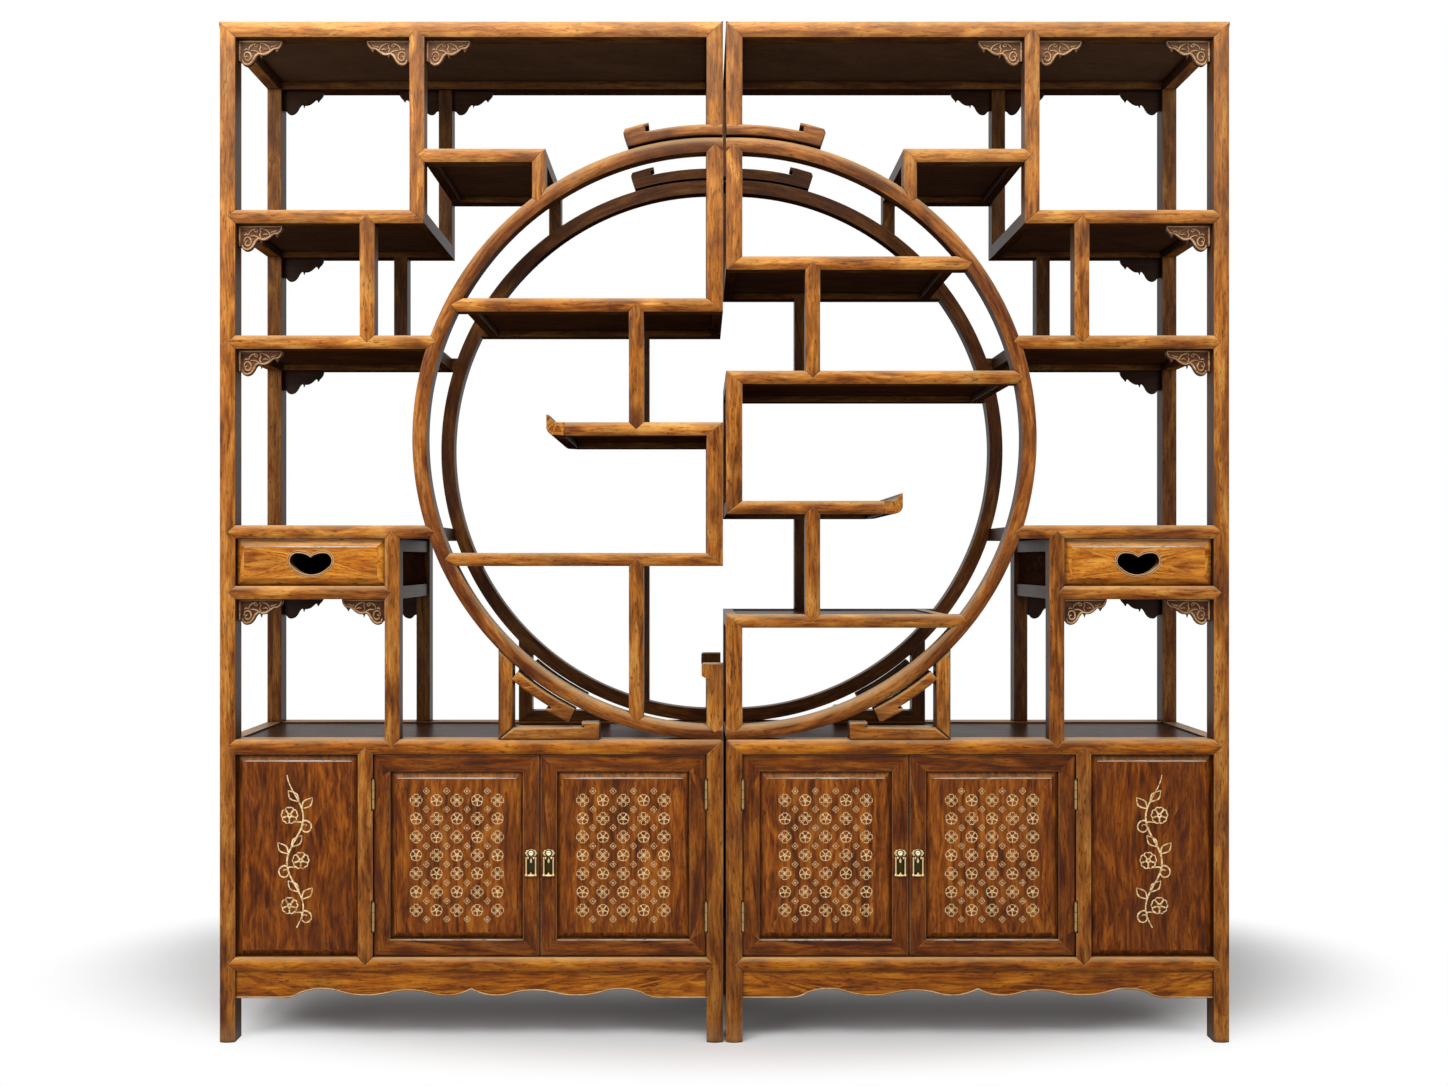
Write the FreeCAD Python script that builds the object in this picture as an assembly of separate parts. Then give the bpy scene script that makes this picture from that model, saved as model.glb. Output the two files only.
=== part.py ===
import FreeCAD, Part
import math
import os

from FreeCAD import Vector

os.makedirs("parts", exist_ok=True)

# Overall sizes of the pair of cabinets, in millimetres; the ring stands on the base
cabinet_width = 990.0
cabinet_gap = 6.0
cabinet_depth = 350.0
base_height = 593.0
ring_radius = 590.0
crown_height = 227.0
height = base_height + 2 * ring_radius + crown_height

# Bars that the frames are made of
corner_post_width = 34.0
corner_post_depth = 42.0
inner_post_width = 32.0
divider_width = 29.0
step_divider_width = 26.0
bar_depth = 36.0
face_round = 4.0
side_round = 4.0
rail_height = 26.0
top_rail_height = 30.0
base_rail_height = 29.0
cross_rail_thickness = 20.0

# Pointed shoulders, where the end of a bar is let into the face of another
shoulder_depth = 12.0
ring_seat = 6.0
cut_overrun = 5.0

# Boards set between the bars
board_thickness = 10.0
board_recess = 3.0
side_board_setback = 12.0

# Moon ring; the flat on its bent bars is a share of their width
ring_width = 28.0
ring_inset = 19.0
ring_shelf_clearance = 4.0
half_turn_angle = 180.0
bent_flat_share = 0.4

# Shelf tops above or below the centre of the ring, as shares of its radius
step_shelf_share = 0.9627
upper_shelf_share = 0.7593
middle_shelf_share = 0.3424
drawer_shelf_share = -0.2881
drawer_rail_share = -0.4898
left_upper_ring_shelf_share = 0.4661
left_scroll_shelf_share = 0.0542
left_lower_ring_shelf_share = -0.3797
right_upper_ring_shelf_share = 0.6051
right_middle_ring_shelf_share = 0.2254
right_scroll_shelf_share = -0.2068
right_lower_ring_shelf_share = -0.5847

# Uprights, from the centre of the ring towards the outer side, as shares of its radius
upper_divider_share = 0.9847
step_divider_share = 0.5797
middle_divider_share = 1.15
lower_divider_share = 1.067
ring_divider_share = 0.2559
bracket_post_share = 0.689
bracket_end_share = 0.378
scroll_end_x_share = 0.5542

# Upturned end of the scroll shelves, as shares of its width and of the rail height
scroll_end_width = 34.0
scroll_end_shares = [
    [(0, 0.6)], [(0.2, 0.5)], [(0.36, 0.12), (0.64, 0)], [(1, 0)], [(1, -1)],
    [(0.4, -0.96)], [(0.1, -0.75), (0, -0.3)]]

# Hooked post at the foot of the ring
hook_post_height = 149.0
hook_head_height = 30.0
hook_head_reach = 10.0
hook_head_slant = 6.0
hook_head_round = 5.0

# Strips that follow the ring outside it, each with a hooked end
strip_clearance = 5.0
strip_width = 21.0
strip_point = 8.0
crown_strip_length = 133.0
crown_hook_rise = 16.0
crown_hook_length = 42.0
bracket_hook_rise = 10.0
bracket_hook_length = 43.0
bracket_hook_clearance = 8.0
hook_lip_width = 7.0
hook_lip_reach = 8.6

# Corner brackets under the ring
bracket_post_width = 29.0
bracket_rail_height = 24.0
bracket_head_width = 31.0
bracket_head_rise = 10.0
bracket_lip = 4.0

# Spandrels; their length is a share of the bay over the drawer, their outline of both sizes
spandrel_length_share = 0.307
spandrel_height = 52.0
spandrel_thickness = 9.0
spandrel_setback = 20.0
spandrel_shares = [
    [(0, 0)], [(1, 0)], [(0.92, -0.35)], [(0.6, -0.52)], [(0.36, -0.72)], [(0.24, -0.96)], [(0, -1)]]

# Base
mullion_x = 289.0
lower_rail_height = 27.0
lower_rail_top = 166.0
floor_board_drop = 6.0
floor_board_thickness = 12.0
apron_thickness = 14.0
apron_setback = 8.0
apron_height = 54.0
apron_rise = 17.0
side_apron_height = 40.0
side_apron_thickness = 12.0

# Lower edge of the front apron up to the middle, as shares of half its length and of its rise
apron_edge_shares = [
    [(0.2, 0)], [(0.24, 0.13), (0.27, 0.5)], [(0.344, 1), (0.45, 0.63)], [(0.558, 0.26), (0.645, 0.56)],
    [(0.732, 0.85), (0.82, 0.56)], [(0.911, 0.26), (1, 0.98)]]

# Raised panels and doors
panel_thickness = 12.0
panel_bevel = 11.0
panel_rise = 5.0
panel_margin = 2.0
fixed_panel_face = 9.0
door_face = 9.0
door_thickness = 22.0
door_stile_width = 32.0
door_side_clearance = 1.5
door_end_clearance = 2.0
door_meeting_clearance = 2.5
door_panel_inset = 2.0

# Hinges; small round pieces are drawn with a few flat sides
small_round_sides = 6
hinge_length = 55.0
hinge_inset = 77.0
barrel_radius = 3.2
barrel_clearance = 0.4
pin_radius = 1.4
pin_clearance = 0.05
knuckle_clearance = 0.3
leaf_thickness = 1.2
leaf_reach = 22.8
pin_end_height = 2.2

# Door pulls; the plate's outline is in shares of half its width and of its height
pull_height_share = 0.533
plate_width = 25.0
plate_height = 20.0
plate_thickness = 1.5
plate_shares = [
    [(-0.45, 0)], [(-1, 0.25)], [(-0.8, 0.85)], [(0, 1)], [(0.8, 0.85)], [(1, 0.25)], [(0.45, 0)]]
ear_width = 3.0
ear_spacing = 13.0
ear_radius = 2.6
ear_reach = 3.0
bail_width = 20.6
bail_drop = 33.0
bail_bar_width = 3.0
bail_foot_width = 4.4
bail_foot_height = 4.8
bail_pin_radius = 1.2
bail_pin_clearance = 0.05

# Drawer
drawer_side_clearance = 1.5
drawer_end_clearance = 1.5
drawer_front_thickness = 20.0
drawer_bevel = 14.0
drawer_box_clearance = 3.0
drawer_side_thickness = 10.0
drawer_side_headroom = 19.0
drawer_bottom_thickness = 6.0
drawer_bottom_lift = 8.0
drawer_rear_clearance = 27.0
runner_width = 16.0
runner_clearance = 0.3
case_rail_height = 25.0
case_rail_thickness = 20.0
case_panel_thickness = 6.0

# Finger hole of the drawer, with its outline as shares of half its width and of its height
finger_hole_width = 82.0
finger_hole_height = 42.0
finger_hole_middle_share = 0.58
finger_hole_shares = [
    [(-0.24, 0.94), (0, 0.8)], [(0.24, 0.94), (0.56, 1)], [(1, 0.63), (0.81, 0.33)],
    [(0, 0), (-0.81, 0.33)], [(-1, 0.63), (-0.56, 1)]]

# Places worked out from the sizes above
ring_x = cabinet_width - ring_inset
ring_z = base_height + ring_radius
step_shelf_top = ring_z + step_shelf_share * ring_radius
upper_shelf_top = ring_z + upper_shelf_share * ring_radius
middle_shelf_top = ring_z + middle_shelf_share * ring_radius
drawer_shelf_top = ring_z + drawer_shelf_share * ring_radius
drawer_rail_top = ring_z + drawer_rail_share * ring_radius
left_upper_ring_shelf_top = ring_z + left_upper_ring_shelf_share * ring_radius
left_scroll_shelf_top = ring_z + left_scroll_shelf_share * ring_radius
left_lower_ring_shelf_top = ring_z + left_lower_ring_shelf_share * ring_radius
right_upper_ring_shelf_top = ring_z + right_upper_ring_shelf_share * ring_radius
right_middle_ring_shelf_top = ring_z + right_middle_ring_shelf_share * ring_radius
right_scroll_shelf_top = ring_z + right_scroll_shelf_share * ring_radius
right_lower_ring_shelf_top = ring_z + right_lower_ring_shelf_share * ring_radius
upper_divider_x = ring_x - upper_divider_share * ring_radius
step_divider_x = ring_x - step_divider_share * ring_radius
middle_divider_x = ring_x - middle_divider_share * ring_radius
lower_divider_x = ring_x - lower_divider_share * ring_radius
ring_divider_x = ring_x - ring_divider_share * ring_radius
bracket_post_x = ring_x - bracket_post_share * ring_radius
bracket_end_x = ring_x - bracket_end_share * ring_radius
scroll_end_x = ring_x - scroll_end_x_share * ring_radius
hook_post_top = base_height + hook_post_height
ring_inner = ring_radius - ring_width
ring_middle = ring_radius - ring_width / 2
ring_top = ring_z + ring_radius
past_gap = 2 * math.degrees(math.asin(ring_inset / ring_inner))
strip_inner = ring_radius + strip_clearance
strip_outer = strip_inner + strip_width
outer_side = corner_post_width
inner_side = cabinet_width - inner_post_width
inner_post_x = (inner_side, cabinet_width)
top_z = (height - top_rail_height, height)
base_z = (base_height - base_rail_height, base_height)
lower_z = (lower_rail_top - lower_rail_height, lower_rail_top)
rails_y = (bar_depth, cabinet_depth - bar_depth)
posts_y = (corner_post_depth, cabinet_depth - corner_post_depth)
key_y = (-cut_overrun, shoulder_depth)
head_y = (face_round / 2, bar_depth)


# Spans and plain shapes
def around(centre, width):
    """Low and high value of a width centred on a place."""
    return (centre - width / 2, centre + width / 2)


def ordered(a, b):
    """The two values, the lower first."""
    return (min(a, b), max(a, b))


def wider(span, by):
    """A span made longer at both ends."""
    return (span[0] - by, span[1] + by)


def block(x, y, z):
    """Square-edged piece between the two values of x, y and z."""
    corner = Vector(x[0], y[0], z[0])
    return Part.makeBox(x[1] - x[0], y[1] - y[0], z[1] - z[0], corner)


def polygon(points):
    """Flat face through points."""
    return Part.Face(Part.makePolygon(points + points[:1]))


def slab(points, y):
    """Outline in x and z, carried from y[0] to y[1]."""
    face = polygon([Vector(px, y[0], pz) for px, pz in points])
    return face.extrude(Vector(0, y[1] - y[0], 0))


def slab_upward(points, z):
    """Outline in x and y, carried from z[0] to z[1]."""
    face = polygon([Vector(px, py, z[0]) for px, py in points])
    return face.extrude(Vector(0, 0, z[1] - z[0]))


def slab_sideways(points, x):
    """Outline in y and z, carried from x[0] to x[1]."""
    face = polygon([Vector(x[0], py, pz) for py, pz in points])
    return face.extrude(Vector(x[1] - x[0], 0, 0))


def curved_slab(steps, y):
    """Closed outline in x and z. A step of one point is straight, a step of two is an arc."""
    def at(point):
        return Vector(point[0], y[0], point[1])
    edges = []
    here = steps[0][-1]
    for step in steps[1:] + steps[:1]:
        if len(step) == 2:
            edges.append(Part.Arc(at(here), at(step[0]), at(step[1])).toShape())
        else:
            edges.append(Part.makeLine(at(here), at(step[0])))
        here = step[-1]
    return Part.Face(Part.Wire(edges)).extrude(Vector(0, y[1] - y[0], 0))


def shaped(shares, corner, size, y):
    """Outline written in shares of a width and a height, placed at a corner."""
    steps = [[(corner[0] + px * size[0], corner[1] + pz * size[1]) for px, pz in step]
             for step in shares]
    return curved_slab(steps, y)


def small_round(start, end, radius):
    """Small round bar between two places, in flat sides that touch the radius at their corners."""
    axis = end - start
    across = axis.cross(Vector(0, 1, 0)).normalize()
    beside = axis.cross(across).normalize()
    points = []
    for i in range(small_round_sides):
        turn = 2 * math.pi * (i + 0.5) / small_round_sides
        points.append(start + across * (radius * math.cos(turn)) + beside * (radius * math.sin(turn)))
    return polygon(points).extrude(axis)


def small_bore(start, end, radius):
    """Cutter for a small hole, whose flat sides stay outside the radius."""
    return small_round(start, end, radius / math.cos(math.pi / small_round_sides))


def rear_of(shape):
    """The same piece on the other face of the cabinet."""
    return shape.mirror(Vector(0, cabinet_depth / 2, 0), Vector(0, 1, 0))


# Bars
def bar_section(width, depth, bulge):
    """Section across x and y. Its face bulges towards y = 0, or is flat where bulge is nothing."""
    left = Vector(-width / 2, bulge, 0)
    right = Vector(width / 2, bulge, 0)
    back_right = Vector(width / 2, depth, 0)
    back_left = Vector(-width / 2, depth, 0)
    if bulge == 0:
        return polygon([left, right, back_right, back_left])
    edges = [Part.Arc(left, Vector(0, 0, 0), right).toShape()]
    edges.append(Part.makeLine(right, back_right))
    edges.append(Part.makeLine(back_right, back_left))
    edges.append(Part.makeLine(back_left, left))
    return Part.Face(Part.Wire(edges))


def bent_section(width, depth, bulge):
    """The same section for a bent bar, with the round of its face in three flats."""
    half = width / 2
    flat = half * bent_flat_share
    points = [(-half, depth), (-half, bulge)]
    if bulge > 0:
        points += [(-flat, 0), (flat, 0)]
    points += [(half, bulge), (half, depth)]
    return polygon([Vector(px, py, 0) for px, py in points])


def sidebar(y, z, thickness):
    """Bar from front to rear with its round face to the outer side."""
    low = Vector(side_round, y[0], z[0])
    high = Vector(side_round, y[0], z[1])
    inner_high = Vector(thickness, y[0], z[1])
    inner_low = Vector(thickness, y[0], z[0])
    edges = [Part.Arc(low, Vector(0, y[0], (z[0] + z[1]) / 2), high).toShape()]
    edges.append(Part.makeLine(high, inner_high))
    edges.append(Part.makeLine(inner_high, inner_low))
    edges.append(Part.makeLine(inner_low, low))
    return Part.Face(Part.Wire(edges)).extrude(Vector(0, y[1] - y[0], 0))


def corner_post(z):
    """Corner post, round on the front and on the outer side."""
    inner_front = Vector(corner_post_width, face_round, z[0])
    arris = Vector(side_round, face_round, z[0])
    inner_back = Vector(corner_post_width, corner_post_depth, z[0])
    outer_back = Vector(side_round, corner_post_depth, z[0])
    front_apex = Vector((corner_post_width + side_round) / 2, 0, z[0])
    side_apex = Vector(0, (corner_post_depth + face_round) / 2, z[0])
    edges = [Part.Arc(inner_front, front_apex, arris).toShape()]
    edges.append(Part.Arc(arris, side_apex, outer_back).toShape())
    edges.append(Part.makeLine(outer_back, inner_back))
    edges.append(Part.makeLine(inner_back, inner_front))
    return Part.Face(Part.Wire(edges)).extrude(Vector(0, 0, z[1] - z[0]))


# The ring's circles, measured from the outer side and from the floor
def disc(radius):
    """Everything inside a circle of the ring."""
    low = Vector(ring_x, -cut_overrun, ring_z)
    return Part.makeCylinder(radius, bar_depth + 2 * cut_overrun, low, Vector(0, 1, 0))


def ring_edge_x(z, radius):
    """Where a circle of the ring stands at a height, on the outer side."""
    return ring_x - math.sqrt(radius ** 2 - (z - ring_z) ** 2)


def ring_edge_z(x, radius, side):
    """Height of a circle of the ring at a place, above or below the centre."""
    return ring_z + side * math.sqrt(radius ** 2 - (x - ring_x) ** 2)


# Pointed keys, one for each way that a bar can end in the face of another
def rail_into_post(at, z, towards):
    """Rail that runs into the side of a post."""
    tip = (at + towards * (z[1] - z[0]) / 2, (z[0] + z[1]) / 2)
    return slab([(at, z[0]), tip, (at, z[1])], key_y)


def post_into_rail(x, at, towards):
    """Post that runs into a rail above or below it."""
    tip = ((x[0] + x[1]) / 2, at + towards * (x[1] - x[0]) / 2)
    return slab([(x[0], at), tip, (x[1], at)], key_y)


def rail_into_ring(z, radius, back):
    """Rail that runs into the ring; back points along the rail, away from the ring."""
    middle = (z[0] + z[1]) / 2
    low = (ring_edge_x(z[0], radius), z[0])
    high = (ring_edge_x(z[1], radius), z[1])
    tip = (ring_edge_x(middle, ring_middle), middle)
    behind = back * ring_seat
    return slab([(low[0] + behind, low[1]), low, tip, high, (high[0] + behind, high[1])], key_y)


def post_into_ring(x, radius, side, back):
    """Post that runs into the ring above or below it."""
    middle = (x[0] + x[1]) / 2
    low = (x[0], ring_edge_z(x[0], radius, side))
    high = (x[1], ring_edge_z(x[1], radius, side))
    tip = (middle, ring_edge_z(middle, ring_middle, side))
    behind = back * ring_seat
    return slab([(low[0], low[1] + behind), low, tip, high, (high[0], high[1] + behind)], key_y)


def shelf_z(top):
    """Bottom and top of a shelf rail."""
    return (top - rail_height, top)


# Wedges that part a front rail, a side rail and a post at a three-way mitred corner
def corner_wedges(corner_x, inside_x, z):
    """What comes off the front rail, off the side rail and off the post."""
    low, top = z
    deep = corner_post_depth
    through_z = wider(z, cut_overrun)
    through_x = wider(ordered(corner_x, inside_x), cut_overrun)
    off_rail = slab_upward([(corner_x, 0), (inside_x, deep), (corner_x, deep)], through_z)
    off_side = slab_upward([(corner_x, 0), (inside_x, deep), (inside_x, 0)], through_z)
    off_side_below = slab_sideways([(0, top), (deep, low), (0, low)], through_x)
    off_post = slab_sideways([(0, top), (deep, low), (deep, top)], through_x)
    return off_rail, [off_side, off_side_below], off_post


def mitred_side(bar, corner_x, inside_x, z):
    """Side rail that ends in a three-way corner at the front and at the rear."""
    off_side = corner_wedges(corner_x, inside_x, z)[1]
    return bar.cut(off_side + [rear_of(wedge) for wedge in off_side])


class Frame:
    """Bars of one face of a cabinet. A front has round faces and pointed ends, a rear is plain."""

    def __init__(self, is_front):
        self.bulge = face_round if is_front else 0
        self.pointed = is_front
        self.bars = {}
        self.cuts = {}

    def upright(self, x, z, depth=bar_depth):
        """Standing bar."""
        section = bar_section(x[1] - x[0], depth, self.bulge)
        section.translate(Vector((x[0] + x[1]) / 2, 0, z[0]))
        return section.extrude(Vector(0, 0, z[1] - z[0]))

    def crossbar(self, x, z, depth=bar_depth):
        """Lying bar."""
        section = bar_section(z[1] - z[0], depth, self.bulge)
        section.rotate(Vector(0, 0, 0), Vector(0, 1, 0), -90)
        section.translate(Vector(x[0], 0, (z[0] + z[1]) / 2))
        return section.extrude(Vector(x[1] - x[0], 0, 0))

    def arc_bar(self, outer, width, start, end):
        """Bar bent round the ring's centre, by angles from straight up to the outer side."""
        section = bent_section(width, bar_depth, self.bulge)
        section.translate(Vector(ring_x - outer + width / 2, 0, ring_z))
        centre = Vector(ring_x, 0, ring_z)
        section.rotate(centre, Vector(0, 1, 0), 90 - start)
        return section.revolve(centre, Vector(0, 1, 0), start - end)

    def add(self, name, bar, stock, joints):
        """Put in a bar with its pointed ends, given as pairs of a key and the bar it enters."""
        if self.pointed and joints:
            bar = bar.fuse([stock.common(key) for key, receiver in joints]).removeSplitter()
            for key, receiver in joints:
                self.cuts.setdefault(receiver, []).append(key)
        self.bars[name] = bar

    def rail(self, name, x, z, left=None, right=None):
        """Lying bar; left and right name the posts that its ends run into."""
        joints = []
        if left:
            joints.append((rail_into_post(x[0], z, -1), left))
        if right:
            joints.append((rail_into_post(x[1], z, 1), right))
        self.add(name, self.crossbar(x, z), self.crossbar(wider(x, rail_height), z), joints)

    def post(self, name, x, z, below=None, above=None):
        """Standing bar; below and above name the rails that its ends run into."""
        joints = []
        if below:
            joints.append((post_into_rail(x, z[0], -1), below))
        if above:
            joints.append((post_into_rail(x, z[1], 1), above))
        self.add(name, self.upright(x, z), self.upright(x, wider(z, rail_height)), joints)

    def ring_rail(self, name, top):
        """Shelf rail from the inside of the ring to the gap between the cabinets."""
        z = shelf_z(top)
        stock = self.crossbar((ring_x - ring_radius, cabinet_width), z)
        joint = rail_into_ring(z, ring_inner, 1)
        self.add(name, stock.common(disc(ring_inner)), stock, [(joint, "ring")])

    def mitre(self, post, rail, corner, inside):
        """Cut a post and a rail along the line from the outer corner to the inner one."""
        through = wider((0, corner_post_depth), cut_overrun)
        past_x = corner[0] + math.copysign(cut_overrun, corner[0] - inside[0])
        past_z = corner[1] + math.copysign(cut_overrun, corner[1] - inside[1])
        short_z = inside[1] - math.copysign(cut_overrun, corner[1] - inside[1])
        rail_side = slab([corner, inside, (inside[0], past_z), (corner[0], past_z)], through)
        post_side = slab([corner, inside, (inside[0], short_z), (past_x, short_z),
                          (past_x, corner[1])], through)
        self.bars[post] = self.bars[post].cut(rail_side)
        self.bars[rail] = self.bars[rail].cut(post_side)

    def gap_post(self, name, z, low_rail=None, high_rail=None):
        """Post along the gap between the cabinets, mitred with the rails that end at it."""
        self.bars[name] = self.upright(inner_post_x, z)
        if low_rail:
            self.gap_mitre(name, low_rail, shelf_z(z[0] + rail_height))
        if high_rail:
            self.gap_mitre(name, high_rail, shelf_z(z[1])[::-1])

    def gap_mitre(self, post, rail, z):
        """Mitre of a gap post; z is the height of its outer corner, then of its inner one."""
        self.mitre(post, rail, (cabinet_width, z[0]), (inner_side, z[1]))

    def three_way(self, rail, post, corner_x, inside_x, z):
        """Cut the front rail and the post of a three-way corner."""
        self.mitre(post, rail, (corner_x, z[1]), (inside_x, z[0]))
        off_rail, off_side, off_post = corner_wedges(corner_x, inside_x, z)
        self.bars[rail] = self.bars[rail].cut(off_rail)
        self.bars[post] = self.bars[post].cut(off_post)

    def finish(self):
        """Cut each bar to receive the pointed ends of the others."""
        for name, keys in self.cuts.items():
            self.bars[name] = self.bars[name].cut(keys)


# Bars outside the ring, the same in both cabinets
def base_bars(frame):
    """Posts and rails of the closed base."""
    frame.bars["outer_post"] = corner_post((0, height))
    frame.bars["inner_base_post"] = frame.upright(inner_post_x, (0, base_height), corner_post_depth)
    stock = frame.crossbar((0, cabinet_width), base_z, corner_post_depth)
    bar = frame.crossbar((outer_side, cabinet_width), base_z, corner_post_depth)
    frame.add("base_rail", bar, stock, [(rail_into_post(outer_side, base_z, -1), "outer_post")])
    frame.three_way("base_rail", "inner_base_post", cabinet_width, inner_side, base_z)
    frame.rail("lower_rail", (outer_side, inner_side), lower_z, "outer_post", "inner_base_post")
    frame.post("mullion", around(mullion_x, divider_width), (lower_rail_top, base_z[0]),
               "lower_rail", "base_rail")


def upper_bars(frame):
    """Top rail, shelf rails and dividers of the open part."""
    frame.bars["upper_inner_post"] = frame.upright(
        inner_post_x, (ring_z + strip_inner, height), corner_post_depth)
    frame.bars["top_rail"] = frame.crossbar((0, cabinet_width), top_z, corner_post_depth)
    frame.three_way("top_rail", "outer_post", 0, outer_side, top_z)
    frame.three_way("top_rail", "upper_inner_post", cabinet_width, inner_side, top_z)

    upper_divider = around(upper_divider_x, divider_width)
    step_divider = around(step_divider_x, step_divider_width)
    lower_divider = around(lower_divider_x, divider_width)
    upper_z = shelf_z(upper_shelf_top)
    step_z = shelf_z(step_shelf_top)
    frame.post("upper_divider", upper_divider, (upper_z[0], top_z[0]), above="top_rail")
    frame.rail("upper_rail", (outer_side, upper_divider[1]), upper_z, left="outer_post")
    frame.mitre("upper_divider", "upper_rail", (upper_divider[1], upper_z[0]),
                (upper_divider[0], upper_z[1]))
    frame.rail("step_rail", (upper_divider[1], step_divider[1]), step_z, left="upper_divider")
    stock = frame.upright(step_divider, (ring_edge_z(step_divider[0], ring_inner, 1), step_z[1]))
    frame.add("step_divider", stock.cut(disc(ring_radius)), stock,
              [(post_into_ring(step_divider, ring_radius, 1, 1), "ring")])
    frame.mitre("step_divider", "step_rail", (step_divider[1], step_z[1]),
                (step_divider[0], step_z[0]))
    for name, top in (("middle_rail", middle_shelf_top), ("drawer_shelf_rail", drawer_shelf_top)):
        z = shelf_z(top)
        stock = frame.crossbar((0, ring_x - ring_inner + ring_width), z)
        bar = frame.crossbar((outer_side, ring_x), z).cut(disc(ring_radius))
        frame.add(name, bar, stock, [(rail_into_post(outer_side, z, -1), "outer_post"),
                                     (rail_into_ring(z, ring_radius, -1), "ring")])
    frame.rail("drawer_rail", (outer_side, lower_divider[0]), shelf_z(drawer_rail_top),
               "outer_post", "lower_divider")
    frame.post("middle_divider", around(middle_divider_x, divider_width),
               (middle_shelf_top, upper_z[0]), "middle_rail", "upper_rail")
    frame.post("lower_divider", lower_divider, (base_height, shelf_z(drawer_shelf_top)[0]),
               "base_rail", "drawer_shelf_rail")


# Strips outside the ring that end in a hook
def ring_point(angle, radius):
    """Place at an angle from straight up to the outer side, at a distance from the centre."""
    turn = math.radians(angle)
    return (ring_x - radius * math.sin(turn), ring_z + radius * math.cos(turn))


def strip_angle(length):
    """Angle that a length along the outside of a strip takes up."""
    return math.degrees(length / strip_outer)


def hook_head(rise, start, end):
    """Thicker end of a strip, with a lip that overhangs towards the strip's other end."""
    top = strip_outer + rise
    under = top - hook_lip_width
    lip = start - strip_angle(hook_lip_reach)
    return slab([ring_point(start, strip_inner), ring_point(start, under), ring_point(lip, under),
                 ring_point(lip, top), ring_point(end, top), ring_point(end, strip_inner)], head_y)


def crown_hook(frame):
    """Strip over the top of the ring, mitred with the upper inner post."""
    start = strip_angle(crown_strip_length)
    strip = frame.arc_bar(strip_outer, strip_width, -past_gap, start)
    head = hook_head(crown_hook_rise, start, start + strip_angle(crown_hook_length))
    frame.bars["crown_hook"] = strip.cut(beyond_gap_side()).fuse(head).removeSplitter()
    frame.gap_mitre("upper_inner_post", "crown_hook", (ring_z + strip_inner, ring_z + strip_outer))


def corner_bracket(frame):
    """Post, foot rail and strip in the corner under the ring."""
    x = around(bracket_post_x, bracket_post_width)
    foot_z = (base_height, base_height + bracket_rail_height)
    frame.bars["bracket_post"] = frame.upright(x, (base_height, ring_z)).cut(disc(ring_radius))
    head_top = foot_z[1] + bracket_head_rise
    head_x = (bracket_end_x - bracket_head_width, bracket_end_x)
    lip_z = foot_z[1] + bracket_lip
    head = slab([(head_x[0], foot_z[1] - bracket_lip), (head_x[0], lip_z),
                 (head_x[0] - bracket_lip, lip_z), (head_x[0] - bracket_lip, head_top),
                 (head_x[1], head_top), (head_x[1], foot_z[1] - bracket_lip)], head_y)
    frame.bars["bracket_foot"] = frame.crossbar((x[0], bracket_end_x), foot_z).fuse(head)
    frame.mitre("bracket_post", "bracket_foot", (x[0], foot_z[0]), (x[1], foot_z[1]))

    start = half_turn_angle - math.degrees(math.asin((ring_x - x[1] + strip_width) / strip_inner))
    drop = ring_z - foot_z[1] - bracket_hook_clearance
    hook_end = half_turn_angle - math.degrees(math.acos(drop / (strip_outer + bracket_hook_rise)))
    hook_start = hook_end - strip_angle(bracket_hook_length)
    stock = frame.arc_bar(strip_outer, strip_width, start, hook_start)
    behind = block((0, x[1]), wider((0, bar_depth), cut_overrun), (0, height))
    strip = stock.cut(behind).fuse(
        hook_head(bracket_hook_rise, hook_start, hook_end)).removeSplitter()
    low = ring_edge_z(x[1], strip_outer, -1)
    high = ring_edge_z(x[1], strip_inner, -1)
    tip = (x[1] - strip_point, (low + high) / 2 + strip_point)
    frame.add("bracket_strip", strip, stock,
              [(slab([(x[1], low), tip, (x[1], high)], key_y), "bracket_post")])


# Bars inside the ring, which differ between the two cabinets
def scroll_rail(frame, top):
    """Rail of the shelf whose free end turns up."""
    x = (scroll_end_x + scroll_end_width, cabinet_width)
    frame.bars["scroll_rail"] = frame.crossbar(x, shelf_z(top))


def ring_top_post(frame, z):
    """Post from the upper shelf to the top of the ring, mitred with both."""
    frame.gap_post("ring_top_post", (z[0], ring_top), low_rail="upper_ring_rail")
    frame.gap_mitre("ring_top_post", "ring", (ring_top, ring_top - ring_width))


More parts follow.
